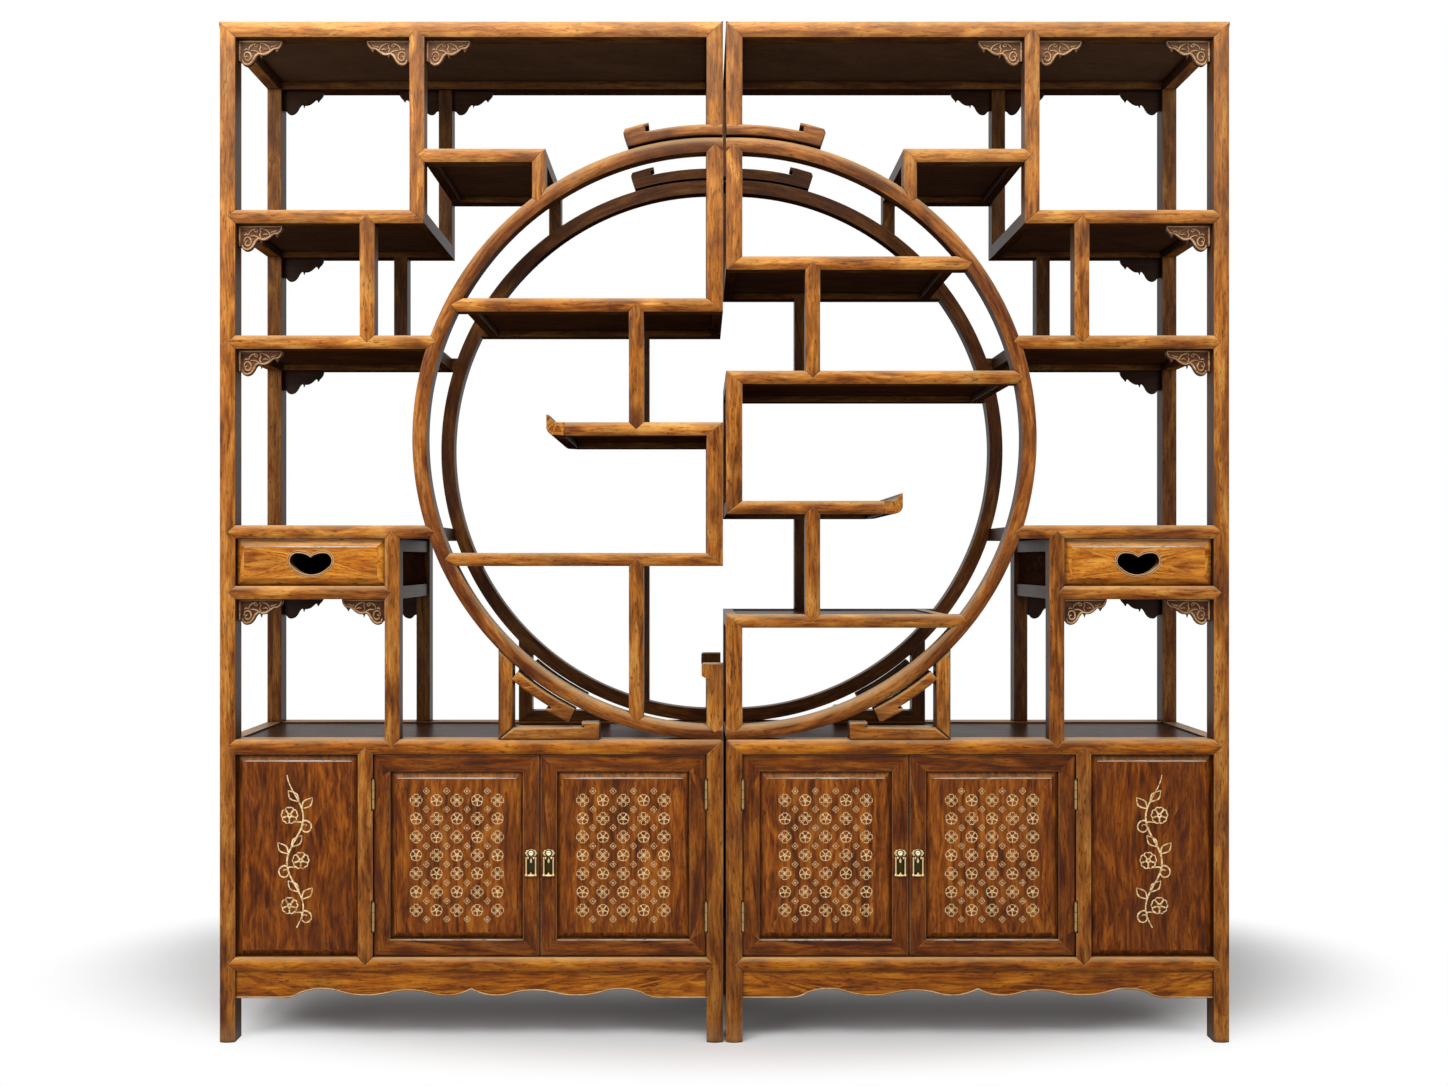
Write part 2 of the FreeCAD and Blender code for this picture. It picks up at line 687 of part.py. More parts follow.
def left_ring_bars(frame):
    """Three shelves, and a hooked post that stands free at the foot of the ring."""
    divider = around(ring_divider_x, divider_width)
    upper_z = shelf_z(left_upper_ring_shelf_top)
    scroll_z = shelf_z(left_scroll_shelf_top)
    lowest_z = shelf_z(left_lower_ring_shelf_top)
    frame.ring_rail("upper_ring_rail", upper_z[1])
    frame.ring_rail("lower_ring_rail", lowest_z[1])
    scroll_rail(frame, scroll_z[1])
    ring_top_post(frame, upper_z)
    frame.gap_post("ring_gap_post", (lowest_z[0], scroll_z[1]), "lower_ring_rail", "scroll_rail")
    frame.post("upper_ring_divider", divider, (scroll_z[1], upper_z[0]),
               "scroll_rail", "upper_ring_rail")
    low = ring_z - ring_radius
    stock = frame.upright(divider, (low, lowest_z[1]))
    bar = frame.upright(divider, (low, lowest_z[0])).common(disc(ring_inner))
    frame.add("lower_ring_divider", bar, stock,
              [(post_into_ring(divider, ring_inner, -1, 1), "ring"),
               (post_into_rail(divider, lowest_z[0], 1), "lower_ring_rail")])

    head_x = inner_side - hook_head_reach
    head_low = hook_post_top - hook_head_height
    root = inner_side + hook_head_round
    turn = hook_head_round * (1 - math.sqrt(0.5))
    head = curved_slab([
        [(root, head_low)], [(inner_side, head_low)], [(head_x, head_low + hook_head_slant)],
        [(head_x, hook_post_top - hook_head_round)],
        [(head_x + turn, hook_post_top - turn), (head_x + hook_head_round, hook_post_top)],
        [(root, hook_post_top)]], head_y)
    post = frame.upright(inner_post_x, (base_height, hook_post_top))
    frame.bars["ring_foot_post"] = post.fuse(head)
    frame.gap_mitre("ring_foot_post", "ring", (base_height, base_height + ring_width))


def right_ring_bars(frame):
    """Four shelves, and a post that ties the lowest one to the foot of the ring."""
    divider = around(ring_divider_x, divider_width)
    upper_z = shelf_z(right_upper_ring_shelf_top)
    middle_z = shelf_z(right_middle_ring_shelf_top)
    scroll_z = shelf_z(right_scroll_shelf_top)
    lowest_z = shelf_z(right_lower_ring_shelf_top)
    frame.ring_rail("upper_ring_rail", upper_z[1])
    frame.ring_rail("middle_ring_rail", middle_z[1])
    frame.ring_rail("lower_ring_rail", lowest_z[1])
    scroll_rail(frame, scroll_z[1])
    ring_top_post(frame, upper_z)
    frame.gap_post("ring_gap_post", (scroll_z[0], middle_z[1]), "scroll_rail", "middle_ring_rail")
    frame.gap_post("ring_foot_post", (base_height, lowest_z[1]), high_rail="lower_ring_rail")
    frame.gap_mitre("ring_foot_post", "ring", (base_height, base_height + ring_width))
    frame.post("upper_ring_divider", divider, (middle_z[1], upper_z[0]),
               "middle_ring_rail", "upper_ring_rail")
    frame.post("lower_ring_divider", divider, (lowest_z[1], scroll_z[0]),
               "lower_ring_rail", "scroll_rail")


def beyond_gap_side():
    """Everything past the side of the cabinet that faces its neighbour."""
    return block((cabinet_width, 2 * cabinet_width), wider((0, bar_depth), cut_overrun), (0, height))


def build_face(is_front, ring_bars):
    """All bars on one face of a cabinet, in the order they are put together."""
    frame = Frame(is_front)
    base_bars(frame)
    upper_bars(frame)
    ring = frame.arc_bar(ring_radius, ring_width, -past_gap, half_turn_angle + past_gap)
    frame.bars["ring"] = ring.cut(beyond_gap_side())
    ring_bars(frame)
    crown_hook(frame)
    corner_bracket(frame)
    frame.finish()
    return frame.bars


# Panels
def board_z(top):
    """Bottom and top of the board that lies in a frame."""
    return (top - board_recess - board_thickness, top - board_recess)


def raised_panel(x, z, face, thickness, bevel, rise):
    """Panel whose field stands out from a bevel; face is the depth of the field."""
    rim = face + rise
    field = Part.makeWedge(x[0] + bevel, face, z[0] + bevel, z[0], x[0],
                           x[1] - bevel, rim, z[1] - bevel, z[1], x[1])
    return field.fuse(block(x, (rim, face + thickness), z)).removeSplitter()


def framed_panel(x, z, face):
    """Raised panel that shows a margin inside the bars around it."""
    field = raised_panel(wider(x, -panel_margin), wider(z, -panel_margin), face, panel_thickness,
                         panel_bevel, panel_rise)
    tongue = block(x, (face + panel_rise, face + panel_thickness), z)
    return field.fuse(tongue).removeSplitter()


class Cabinet:
    """One cabinet measured from its outer side: the bars of both faces, and all pieces by node."""

    def __init__(self, side, ring_bars):
        self.side = side
        self.front = build_face(True, ring_bars)
        self.rear = {name: rear_of(bar) for name, bar in build_face(False, ring_bars).items()}
        self.nodes = {}

    def put(self, node, *pieces):
        """Add pieces to a node that both cabinets share."""
        self.nodes.setdefault(node, []).extend(pieces)

    def own(self, node, *pieces):
        """Add pieces to a node of this cabinet alone."""
        self.put(self.side + "_" + node, *pieces)

    def bars(self, *names):
        """The bars of these names, in front and at the rear."""
        return [face[name] for name in names for face in (self.front, self.rear)]

    def gather(self, node, *names):
        """Put the bars of both faces into a node of this cabinet."""
        self.own(node, *self.bars(*names))


def shelf(cabinet, top, outer, inner):
    """Side rails and board of one shelf; outer and inner are the spans of its side rails."""
    z = shelf_z(top)
    if outer[0] == 0:
        cabinet.own("side_rails", sidebar(posts_y, z, outer[1]))
    else:
        cabinet.own("cross_rails", block(outer, rails_y, z))
    cabinet.own("cross_rails", block(inner, rails_y, z))
    cabinet.put("shelf_panels", block((outer[1], inner[0]), rails_y, board_z(top)))


def outer_shelves(cabinet):
    """Shelves between the outer side and the ring."""
    upper_end = upper_divider_x + divider_width / 2
    step_end = step_divider_x + step_divider_width / 2
    outer = (0, outer_side)
    shelf(cabinet, step_shelf_top, (upper_end, upper_end + cross_rail_thickness),
          (step_end - cross_rail_thickness, step_end))
    shelf(cabinet, upper_shelf_top, outer, (upper_end - cross_rail_thickness, upper_end))
    for top in (middle_shelf_top, drawer_shelf_top):
        end = ring_edge_x(shelf_z(top)[0], ring_radius) - ring_shelf_clearance
        shelf(cabinet, top, outer, (end - cross_rail_thickness, end))
    cabinet.gather("upper_shelf_rails", "step_rail", "upper_rail")
    cabinet.gather("middle_shelf_rails", "middle_rail")
    cabinet.gather("drawer_shelf_rails", "drawer_shelf_rail", "drawer_rail")


def ring_shelves(cabinet, tops, scroll_top):
    """Shelves inside the ring; the scroll shelf ends in one upturned piece of full depth."""
    gap_end = (cabinet_width - cross_rail_thickness, cabinet_width)
    for rail, top in tops.items():
        ends = [ring_edge_x(z, ring_inner) for z in shelf_z(top)]
        near = max(ends) + ring_shelf_clearance
        shelf(cabinet, top, (near, near + cross_rail_thickness), gap_end)
        cabinet.gather("ring_shelf_rails", rail)
    near = scroll_end_x + scroll_end_width
    end = shaped(scroll_end_shares, (scroll_end_x, scroll_top), (scroll_end_width, rail_height),
                 (0, cabinet_depth))
    cabinet.put("scroll_ends", end)
    cabinet.own("cross_rails", block(gap_end, rails_y, shelf_z(scroll_top)))
    cabinet.put("shelf_panels", block((near, gap_end[0]), rails_y, board_z(scroll_top)))
    cabinet.gather("ring_shelf_rails", "scroll_rail")


def frames_and_boards(cabinet):
    """Top frame, base frames and the boards set in them."""
    inside_x = (outer_side, inner_side)
    outer_top = sidebar((0, cabinet_depth), top_z, corner_post_width)
    inner_top = block(inner_post_x, (0, cabinet_depth), top_z)
    inner_base = block(inner_post_x, (0, cabinet_depth), base_z)
    cabinet.own("side_rails", mitred_side(outer_top, 0, corner_post_width, top_z),
                mitred_side(inner_top, cabinet_width, inner_side, top_z),
                sidebar(posts_y, base_z, outer_side),
                mitred_side(inner_base, cabinet_width, inner_side, base_z),
                sidebar(posts_y, lower_z, outer_side), block(inner_post_x, posts_y, lower_z))
    cabinet.gather("top_rails", "top_rail")
    cabinet.gather("base_rails", "base_rail", "lower_rail")
    cabinet.put("top_panels", block(inside_x, posts_y, board_z(height)),
                block(inside_x, posts_y, board_z(base_height)))

    floor_top = lower_rail_top - floor_board_drop
    wall_z = (lower_rail_top, base_z[0])
    cabinet.put("base_panels", block(inside_x, rails_y, (floor_top - floor_board_thickness, floor_top)))
    for face in (side_board_setback, cabinet_width - side_board_setback - board_thickness):
        cabinet.put("base_panels", block((face, face + board_thickness), posts_y, wall_z))
    mullion = around(mullion_x, divider_width)
    back_face = cabinet_depth - side_board_setback - board_thickness
    for x in ((outer_side, mullion[0]), (mullion[1], inner_side)):
        cabinet.put("base_panels", block(x, (back_face, back_face + board_thickness), wall_z))
    cabinet.put("base_panels", framed_panel((outer_side, mullion[0]), wall_z, fixed_panel_face))


def aprons(cabinet):
    """Shaped apron under the front rail and plain ones under the side rails."""
    top = lower_z[0]
    foot = top - apron_height
    half = (inner_side - outer_side) / 2
    edge = [[(outer_side + px * half, foot + pz * apron_rise) for px, pz in step]
            for step in apron_edge_shares]
    back_edge = []
    for step, before in zip(edge[:0:-1], edge[-2::-1]):
        back_edge.append([(outer_side + inner_side - px, pz) for px, pz in (step[0], before[-1])])
    steps = [[(outer_side, top)], [(outer_side, foot)]] + edge + back_edge
    steps += [[(inner_side, foot)], [(inner_side, top)]]
    cabinet.put("aprons", curved_slab(steps, (apron_setback, apron_setback + apron_thickness)))
    for x in (apron_setback, cabinet_width - apron_setback - side_apron_thickness):
        cabinet.put("aprons", block((x, x + side_apron_thickness), posts_y,
                                    (top - side_apron_height, top)))


def spandrels(cabinet):
    """Corner pieces under the rails, at the front and at the rear."""
    divider = around(upper_divider_x, divider_width)
    drawer_bottom = shelf_z(drawer_rail_top)[0]
    drawer_end = lower_divider_x - divider_width / 2
    places = [((outer_side, top_z[0]), 1), ((divider[0], top_z[0]), -1),
              ((divider[1], top_z[0]), 1), ((outer_side, shelf_z(upper_shelf_top)[0]), 1),
              ((outer_side, shelf_z(middle_shelf_top)[0]), 1),
              ((outer_side, drawer_bottom), 1), ((drawer_end, drawer_bottom), -1)]
    y = (spandrel_setback, spandrel_setback + spandrel_thickness)
    length = spandrel_length_share * (drawer_end - outer_side)
    for corner, towards in places:
        size = (towards * length, spandrel_height)
        piece = shaped(spandrel_shares, corner, size, y)
        cabinet.put("spandrels", piece, rear_of(piece))


# Drawer and the case it runs in
drawer_opening_x = (outer_side, lower_divider_x - divider_width / 2)
drawer_opening_z = (drawer_rail_top, shelf_z(drawer_shelf_top)[0])


def drawer_case(cabinet):
    """Rails, dust board, runners and walls around the drawer."""
    wall_x = around(lower_divider_x, case_rail_thickness)
    rail_z = shelf_z(drawer_rail_top)
    side_z = (rail_z[0], rail_z[0] + case_rail_height)
    upper_z = (drawer_opening_z[1] - case_rail_height, drawer_opening_z[1])
    cabinet.own("side_rails", sidebar(posts_y, rail_z, outer_side))
    cabinet.own("cross_rails", block(wall_x, rails_y, side_z), block(wall_x, rails_y, upper_z))
    panel = block(around(lower_divider_x, case_panel_thickness), rails_y, (side_z[1], upper_z[0]))
    dust = block((outer_side, wall_x[0]), rails_y, board_z(drawer_rail_top))
    wall = block((side_board_setback, side_board_setback + board_thickness), posts_y,
                 drawer_opening_z)
    back_face = cabinet_depth - side_board_setback - board_thickness
    back = block(drawer_opening_x, (back_face, back_face + board_thickness), drawer_opening_z)
    cabinet.own("drawer_case", dust, panel, wall, back)
    runner_z = (board_z(drawer_rail_top)[1], drawer_rail_top)
    for x in ((outer_side, outer_side + runner_width),
              (drawer_opening_x[1] - runner_width, drawer_opening_x[1])):
        cabinet.own("drawer_case", block(x, rails_y, runner_z))


def finger_hole(centre, y):
    """Cloud-shaped hole: two round lobes with a dip between them, one long curve below."""
    low = centre[1] - finger_hole_middle_share * finger_hole_height
    return shaped(finger_hole_shares, (centre[0], low), (finger_hole_width / 2, finger_hole_height), y)


def drawer(cabinet):
    """Front with a bevelled field and a finger hole, and the box behind it."""
    front_x = wider(drawer_opening_x, -drawer_side_clearance)
    front_z = wider(drawer_opening_z, -drawer_end_clearance)
    front_y = (door_face, door_face + drawer_front_thickness)
    front = raised_panel(front_x, front_z, door_face, drawer_front_thickness,
                         drawer_bevel, panel_rise)
    centre = ((front_x[0] + front_x[1]) / 2, (front_z[0] + front_z[1]) / 2)
    cabinet.own("drawer_front", front.cut(finger_hole(centre, wider(front_y, cut_overrun))))

    box_x = wider(drawer_opening_x, -drawer_box_clearance)
    back_face = cabinet_depth - side_board_setback - board_thickness
    box_y = (front_y[1], back_face - drawer_rear_clearance)
    low = drawer_rail_top + runner_clearance
    side_z = (low, drawer_opening_z[1] - drawer_side_headroom)
    inside_x = wider(box_x, -drawer_side_thickness)
    bottom_z = (low + drawer_bottom_lift, low + drawer_bottom_lift + drawer_bottom_thickness)
    back_y = (box_y[1] - drawer_side_thickness, box_y[1])
    cabinet.own("drawer_box", block((box_x[0], inside_x[0]), box_y, side_z),
                block((inside_x[1], box_x[1]), box_y, side_z),
                block(inside_x, back_y, (bottom_z[1], side_z[1])),
                block(inside_x, box_y, bottom_z))


# Doors, made for the outer side and mirrored for the inner one
door_opening_x = (mullion_x + divider_width / 2, inner_side)
door_opening_z = (lower_rail_top, base_z[0])
door_middle = (door_opening_x[0] + door_opening_x[1]) / 2
door_x = (door_opening_x[0] + door_side_clearance, door_middle - door_meeting_clearance / 2)
door_z = wider(door_opening_z, -door_end_clearance)
door_y = (door_face, door_face + door_thickness)
hinge_x = door_opening_x[0] + door_side_clearance / 2
hinge_y = door_face - barrel_radius - leaf_thickness / 2
hinge_heights = [door_z[0] + hinge_inset, door_z[1] - hinge_inset]
knuckle_length = hinge_length / 3
bail_x = door_x[1] - door_stile_width / 2
bail_y = door_face - plate_thickness - ear_reach
pull_top_z = door_z[0] + pull_height_share * (door_z[1] - door_z[0])
bail_z = pull_top_z - plate_height + ear_radius


def across_doors(shape):
    """The same piece on the door beside it."""
    return shape.mirror(Vector(door_middle, 0, 0), Vector(1, 0, 0))


def on_hinge_axis(make, z, radius):
    """Round piece or bore along the hinge axis."""
    return make(Vector(hinge_x, hinge_y, z[0]), Vector(hinge_x, hinge_y, z[1]), radius)


def hinge_leaf(x, z, knuckles):
    """Leaf let into the wood at x, with the knuckles that belong to it."""
    plate_y = (hinge_y + barrel_radius + barrel_clearance, hinge_y + leaf_reach)
    parts = []
    for span in knuckles:
        parts.append(on_hinge_axis(small_round, span, barrel_radius))
        parts.append(block(x, (hinge_y, plate_y[0]), span))
    bore = on_hinge_axis(small_bore, around(z, hinge_length), pin_radius + pin_clearance)
    return block(x, plate_y, around(z, hinge_length)).fuse(parts).cut(bore).removeSplitter()


def hinge(z):
    """Frame leaf, door leaf and pin of one hinge."""
    low, high = around(z, hinge_length)
    gap = knuckle_clearance / 2
    frame_x = (door_opening_x[0] - leaf_thickness, door_opening_x[0])
    door_leaf_x = (door_x[0], door_x[0] + leaf_thickness)
    frame_leaf = hinge_leaf(frame_x, z, [(low, low + knuckle_length - gap),
                                         (high - knuckle_length + gap, high)])
    door_leaf = hinge_leaf(door_leaf_x, z, [(low + knuckle_length + gap,
                                             high - knuckle_length - gap)])
    pin = on_hinge_axis(small_round, wider((low, high), pin_end_height), pin_radius)
    return frame_leaf, door_leaf, pin


def hinge_recess(z):
    """Room for a barrel in the edge of a mullion or post."""
    room = barrel_radius + barrel_clearance
    return block((hinge_x - room, hinge_x + room), (0, hinge_y + room),
                 around(z, hinge_length + 4 * pin_end_height))


def door_frame():
    """Two stiles and two rails with mitred corners."""
    inner_x = wider(door_x, -door_stile_width)
    inner_z = wider(door_z, -door_stile_width)
    corners = [(door_x[0], door_z[0]), (door_x[1], door_z[0]),
               (door_x[1], door_z[1]), (door_x[0], door_z[1])]
    inside = [(inner_x[0], inner_z[0]), (inner_x[1], inner_z[0]),
              (inner_x[1], inner_z[1]), (inner_x[0], inner_z[1])]
    sides = []
    for i in range(len(corners)):
        j = (i + 1) % len(corners)
        sides.append(slab([corners[i], corners[j], inside[j], inside[i]], door_y))
    return sides


def pull_plate():
    """Lobed plate with two ears for the bail."""
    corner = (bail_x, pull_top_z - plate_height)
    face = door_face - plate_thickness
    plate = shaped(plate_shares, corner, (plate_width / 2, plate_height), (face, door_face))
    parts = []
    bores = []
    for side in (-1, 1):
        x = around(bail_x + side * ear_spacing / 2, ear_width)
        parts.append(block(x, (bail_y - ear_radius, face), around(bail_z, 2 * ear_radius)))
        bores.append(small_bore(Vector(x[0], bail_y, bail_z), Vector(x[1], bail_y, bail_z),
                                bail_pin_radius + bail_pin_clearance))
    return plate.fuse(parts).cut(bores).removeSplitter()


def bail():
    """Hanging handle: two arms that meet in a thicker bar, and pins that turn in the ears."""
    low = bail_z - bail_drop
    high = bail_z + bail_bar_width / 2
    ends = around(bail_x, bail_width)
    inside = wider(ends, -bail_bar_width / 2)
    outside = wider(ends, bail_bar_width / 2)
    foot_x = wider(ends, bail_foot_width / 2)
    foot_z = around(low, bail_foot_height)
    loop = slab([(foot_x[0], foot_z[0]), (foot_x[1], foot_z[0]), (foot_x[1], foot_z[1]),
                 (outside[1], foot_z[1]), (outside[1], high), (inside[1], high),
                 (inside[1], foot_z[1]), (inside[0], foot_z[1]), (inside[0], high),
                 (outside[0], high), (outside[0], foot_z[1]), (foot_x[0], foot_z[1])],
                around(bail_y, bail_bar_width))
    pins = []
    for side, x in ((-1, ends[0]), (1, ends[1])):
        pins.append(small_round(Vector(bail_x + side * (ear_spacing - ear_width) / 2, bail_y, bail_z),
                                Vector(x, bail_y, bail_z), bail_pin_radius))
    return loop.fuse(pins).removeSplitter()


def doors(cabinet):
    """The two doors of a cabinet with their hinges and pulls."""
    panel = framed_panel(wider(door_x, -door_stile_width), wider(door_z, -door_stile_width),
                         door_face + door_panel_inset)
    frame = door_frame()
    fittings = [pull_plate()]
    frame_side = []
    for z in hinge_heights:
        frame_leaf, door_leaf, pin = hinge(z)
        frame[-1] = frame[-1].cut(door_leaf)
        fittings.append(door_leaf)
        frame_side += [frame_leaf, pin]
        for recess in (frame_leaf, hinge_recess(z)):
            cabinet.front["mullion"] = cabinet.front["mullion"].cut(recess)
            cabinet.front["inner_base_post"] = cabinet.front["inner_base_post"].cut(
                across_doors(recess))
    made = {"frame": frame, "panel": [panel], "fittings": fittings, "bail": [bail()]}
    for name, pieces in made.items():
        cabinet.own("outer_door_" + name, *pieces)
        cabinet.own("inner_door_" + name, *[across_doors(piece) for piece in pieces])
    cabinet.put("frame_hinges", *frame_side)
    cabinet.put("frame_hinges", *[across_doors(piece) for piece in frame_side])


# The two cabinets
def build_cabinet(side):
    """All pieces of one cabinet by node, measured from its outer side."""
    if side == "left":
        cabinet = Cabinet(side, left_ring_bars)
        ring_shelves(cabinet, {"upper_ring_rail": left_upper_ring_shelf_top,
                               "lower_ring_rail": left_lower_ring_shelf_top},
                     left_scroll_shelf_top)
    else:
        cabinet = Cabinet(side, right_ring_bars)
        ring_shelves(cabinet, {"upper_ring_rail": right_upper_ring_shelf_top,
                               "middle_ring_rail": right_middle_ring_shelf_top,
                               "lower_ring_rail": right_lower_ring_shelf_top},
                     right_scroll_shelf_top)
    frames_and_boards(cabinet)
    outer_shelves(cabinet)
    drawer_case(cabinet)
    drawer(cabinet)
    aprons(cabinet)
    spandrels(cabinet)
    doors(cabinet)
    cabinet.gather("corner_posts", "outer_post")
    cabinet.gather("inner_posts", "inner_base_post", "upper_inner_post")
    cabinet.gather("dividers", "upper_divider", "step_divider", "middle_divider",
                   "lower_divider", "mullion")
    cabinet.put("moon_ring", *cabinet.bars("ring"))
    cabinet.gather("ring_posts", "ring_top_post", "ring_gap_post", "ring_foot_post",
                   "upper_ring_divider", "lower_ring_divider")
    cabinet.put("crown_hooks", *cabinet.bars("crown_hook"))
    cabinet.put("corner_brackets", *cabinet.bars("bracket_post", "bracket_foot", "bracket_strip"))
    return cabinet.nodes


outer_x = cabinet_width + cabinet_gap / 2
nodes = {}
for name, pieces in build_cabinet("left").items():
    for piece in pieces:
        nodes.setdefault(name, []).append(piece.translated(Vector(-outer_x, -cabinet_depth / 2, 0)))
for name, pieces in build_cabinet("right").items():
    for piece in pieces:
        mirrored = piece.mirror(Vector(0, 0, 0), Vector(1, 0, 0))
        nodes.setdefault(name, []).append(mirrored.translated(Vector(outer_x, -cabinet_depth / 2, 0)))

for name, pieces in nodes.items():
    solids = [solid for piece in pieces for solid in piece.Solids]
    Part.makeCompound(solids).exportStep("parts/" + name + ".step")
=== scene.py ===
import math

import bmesh
import bpy
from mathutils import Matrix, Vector


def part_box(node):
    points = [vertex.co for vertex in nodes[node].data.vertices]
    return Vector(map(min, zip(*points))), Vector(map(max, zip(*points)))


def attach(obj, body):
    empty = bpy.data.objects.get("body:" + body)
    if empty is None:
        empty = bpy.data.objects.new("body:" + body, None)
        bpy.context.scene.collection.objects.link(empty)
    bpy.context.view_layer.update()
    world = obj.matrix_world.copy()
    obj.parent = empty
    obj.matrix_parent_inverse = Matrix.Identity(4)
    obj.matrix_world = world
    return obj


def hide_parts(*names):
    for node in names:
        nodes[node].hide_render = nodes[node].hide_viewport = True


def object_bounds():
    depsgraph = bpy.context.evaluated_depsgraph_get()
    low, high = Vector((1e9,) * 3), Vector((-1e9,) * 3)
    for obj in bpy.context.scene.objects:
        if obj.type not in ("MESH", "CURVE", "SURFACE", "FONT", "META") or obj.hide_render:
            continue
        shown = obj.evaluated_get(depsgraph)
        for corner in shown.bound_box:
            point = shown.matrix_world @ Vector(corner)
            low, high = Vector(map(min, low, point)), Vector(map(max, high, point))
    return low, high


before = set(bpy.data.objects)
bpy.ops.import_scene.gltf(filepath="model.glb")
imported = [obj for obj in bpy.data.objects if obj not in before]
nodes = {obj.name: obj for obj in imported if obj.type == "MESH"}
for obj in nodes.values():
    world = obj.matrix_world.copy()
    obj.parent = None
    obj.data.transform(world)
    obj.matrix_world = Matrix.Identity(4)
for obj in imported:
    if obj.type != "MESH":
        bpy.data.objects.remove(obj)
cad_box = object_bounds()


# Camera: level, a little left of the middle, at the distance from which the rear frame
# looks nine tenths as large as the front one.
scene = bpy.context.scene
image_width = 1448
camera_distance = 2.747
camera_left, camera_height = 0.050, 0.943


def add_object(name, data):
    """Puts an object with its data in the scene."""
    made = bpy.data.objects.new(name, data)
    scene.collection.objects.link(made)
    return made


camera_data = bpy.data.cameras.new("camera")
camera_data.sensor_width = 36.0
camera_data.lens = 34.9
camera_data.shift_x = 25 / image_width
camera_data.shift_y = 18 / image_width
camera = add_object("camera", camera_data)
camera.location = (-camera_left, cad_box[0][1] - camera_distance, camera_height)
camera.rotation_euler = (math.radians(90), 0, 0)
scene.camera = camera
scene.view_settings.view_transform = "Standard"


# Room: a white studio floor and an open white sky, lit by one wide soft box above the front,
# a large one at the left and a weak one at the right. The floor keeps its shadow near the
# cabinets and goes over into pure white further off.
def linear(colour):
    """Linear red, green, blue and alpha of a colour written as sRGB hex."""
    channels = [int(colour[i:i + 2], 16) / 255 for i in (1, 3, 5)]
    return [c / 12.92 if c <= 0.04045 else ((c + 0.055) / 1.055) ** 2.4 for c in channels] + [1.0]


def node(tree, kind, sockets=None, stops=(), **settings):
    """Adds a node with its settings. A socket takes a value, an output of another node, or
    another node for its first output. Stops are the places and colours of a colour ramp."""
    made = tree.nodes.new("ShaderNode" + kind)
    for name, value in settings.items():
        setattr(made, name, value)
    for key, value in (sockets or {}).items():
        if isinstance(value, bpy.types.Node):
            value = value.outputs[0]
        if isinstance(value, bpy.types.NodeSocket):
            tree.links.new(value, made.inputs[key])
        else:
            made.inputs[key].default_value = value
    for i, (at, colour) in enumerate(stops):
        ramp = made.color_ramp.elements
        stop = ramp[i] if i < 2 else ramp.new(at)
        stop.position = at
        stop.color = linear(colour)
    return made


def empty_material(name):
    """Material without nodes."""
    made = bpy.data.materials.new(name)
    made.use_nodes = True
    made.node_tree.nodes.clear()
    return made


def seen_directly(tree):
    """One for a ray of the camera, of a reflection or of a view through glass, else nothing."""
    path = node(tree, "LightPath").outputs
    direct = node(tree, "Math", {0: path["Is Camera Ray"], 1: path["Is Glossy Ray"]},
                  operation="MAXIMUM")
    return node(tree, "Math", {0: direct, 1: path["Is Transmission Ray"]}, operation="MAXIMUM")


floor_size = 12.0
shadow_shift = (0.0, -0.40, 0.0)
shadow_reach = (1.45, 0.72)
floor_paper = empty_material("matt white studio floor")
tree = floor_paper.node_tree
place = node(tree, "TexCoord").outputs["Object"]
centred = node(tree, "VectorMath", {0: place, 1: shadow_shift}, operation="ADD")
oval = node(tree, "VectorMath", {0: centred, 1: (1 / shadow_reach[0], 1 / shadow_reach[1], 0)},
            operation="MULTIPLY")
away = node(tree, "VectorMath", {0: oval}, operation="LENGTH").outputs["Value"]
fade = node(tree, "MapRange", {0: away, 1: 0.80, 2: 1.12}, interpolation_type="SMOOTHSTEP")
glow_share = node(tree, "Math", {0: seen_directly(tree), 1: fade}, operation="MULTIPLY")
paper = node(tree, "BsdfDiffuse", {"Color": linear("#f2f2f2")})
glow = node(tree, "Emission", {"Color": linear("#ffffff"), "Strength": 1.0})
seen = node(tree, "MixShader", {0: glow_share, 1: paper, 2: glow})
node(tree, "OutputMaterial", {"Surface": seen})
bm = bmesh.new()
bmesh.ops.create_grid(bm, x_segments=1, y_segments=1, size=floor_size / 2)
floor_mesh = bpy.data.meshes.new("floor")
bm.to_mesh(floor_mesh)
bm.free()
floor_mesh.materials.append(floor_paper)
floor = add_object("floor", floor_mesh)

sky = bpy.data.worlds.new("studio sky")
scene.world = sky
sky.use_nodes = True
tree = sky.node_tree
tree.nodes.clear()
strength = node(tree, "MapRange", {0: seen_directly(tree), 3: 0.42, 4: 1.0})
light = node(tree, "Background", {"Color": linear("#ffffff"), "Strength": strength})
node(tree, "OutputWorld", {"Surface": light})


def soft_box(name, place, aim, size, power):
    """Oblong lamp that faces a point."""
    data = bpy.data.lights.new(name, "AREA")
    data.shape = "RECTANGLE"
    data.size, data.size_y = size
    data.energy = power
    lamp = add_object(name, data)
    lamp.location = place
    lamp.rotation_euler = (Vector(aim) - Vector(place)).to_track_quat("-Z", "Y").to_euler()


soft_box("top box", (-0.5, -2.4, 3.7), (0, 0, 1.2), (3.2, 1.6), 92)
soft_box("left box", (-2.7, -2.4, 1.9), (0, 0, 1.1), (1.4, 1.8), 36)
soft_box("right box", (2.7, -2.4, 1.6), (0, 0, 1.0), (1.4, 1.8), 13)


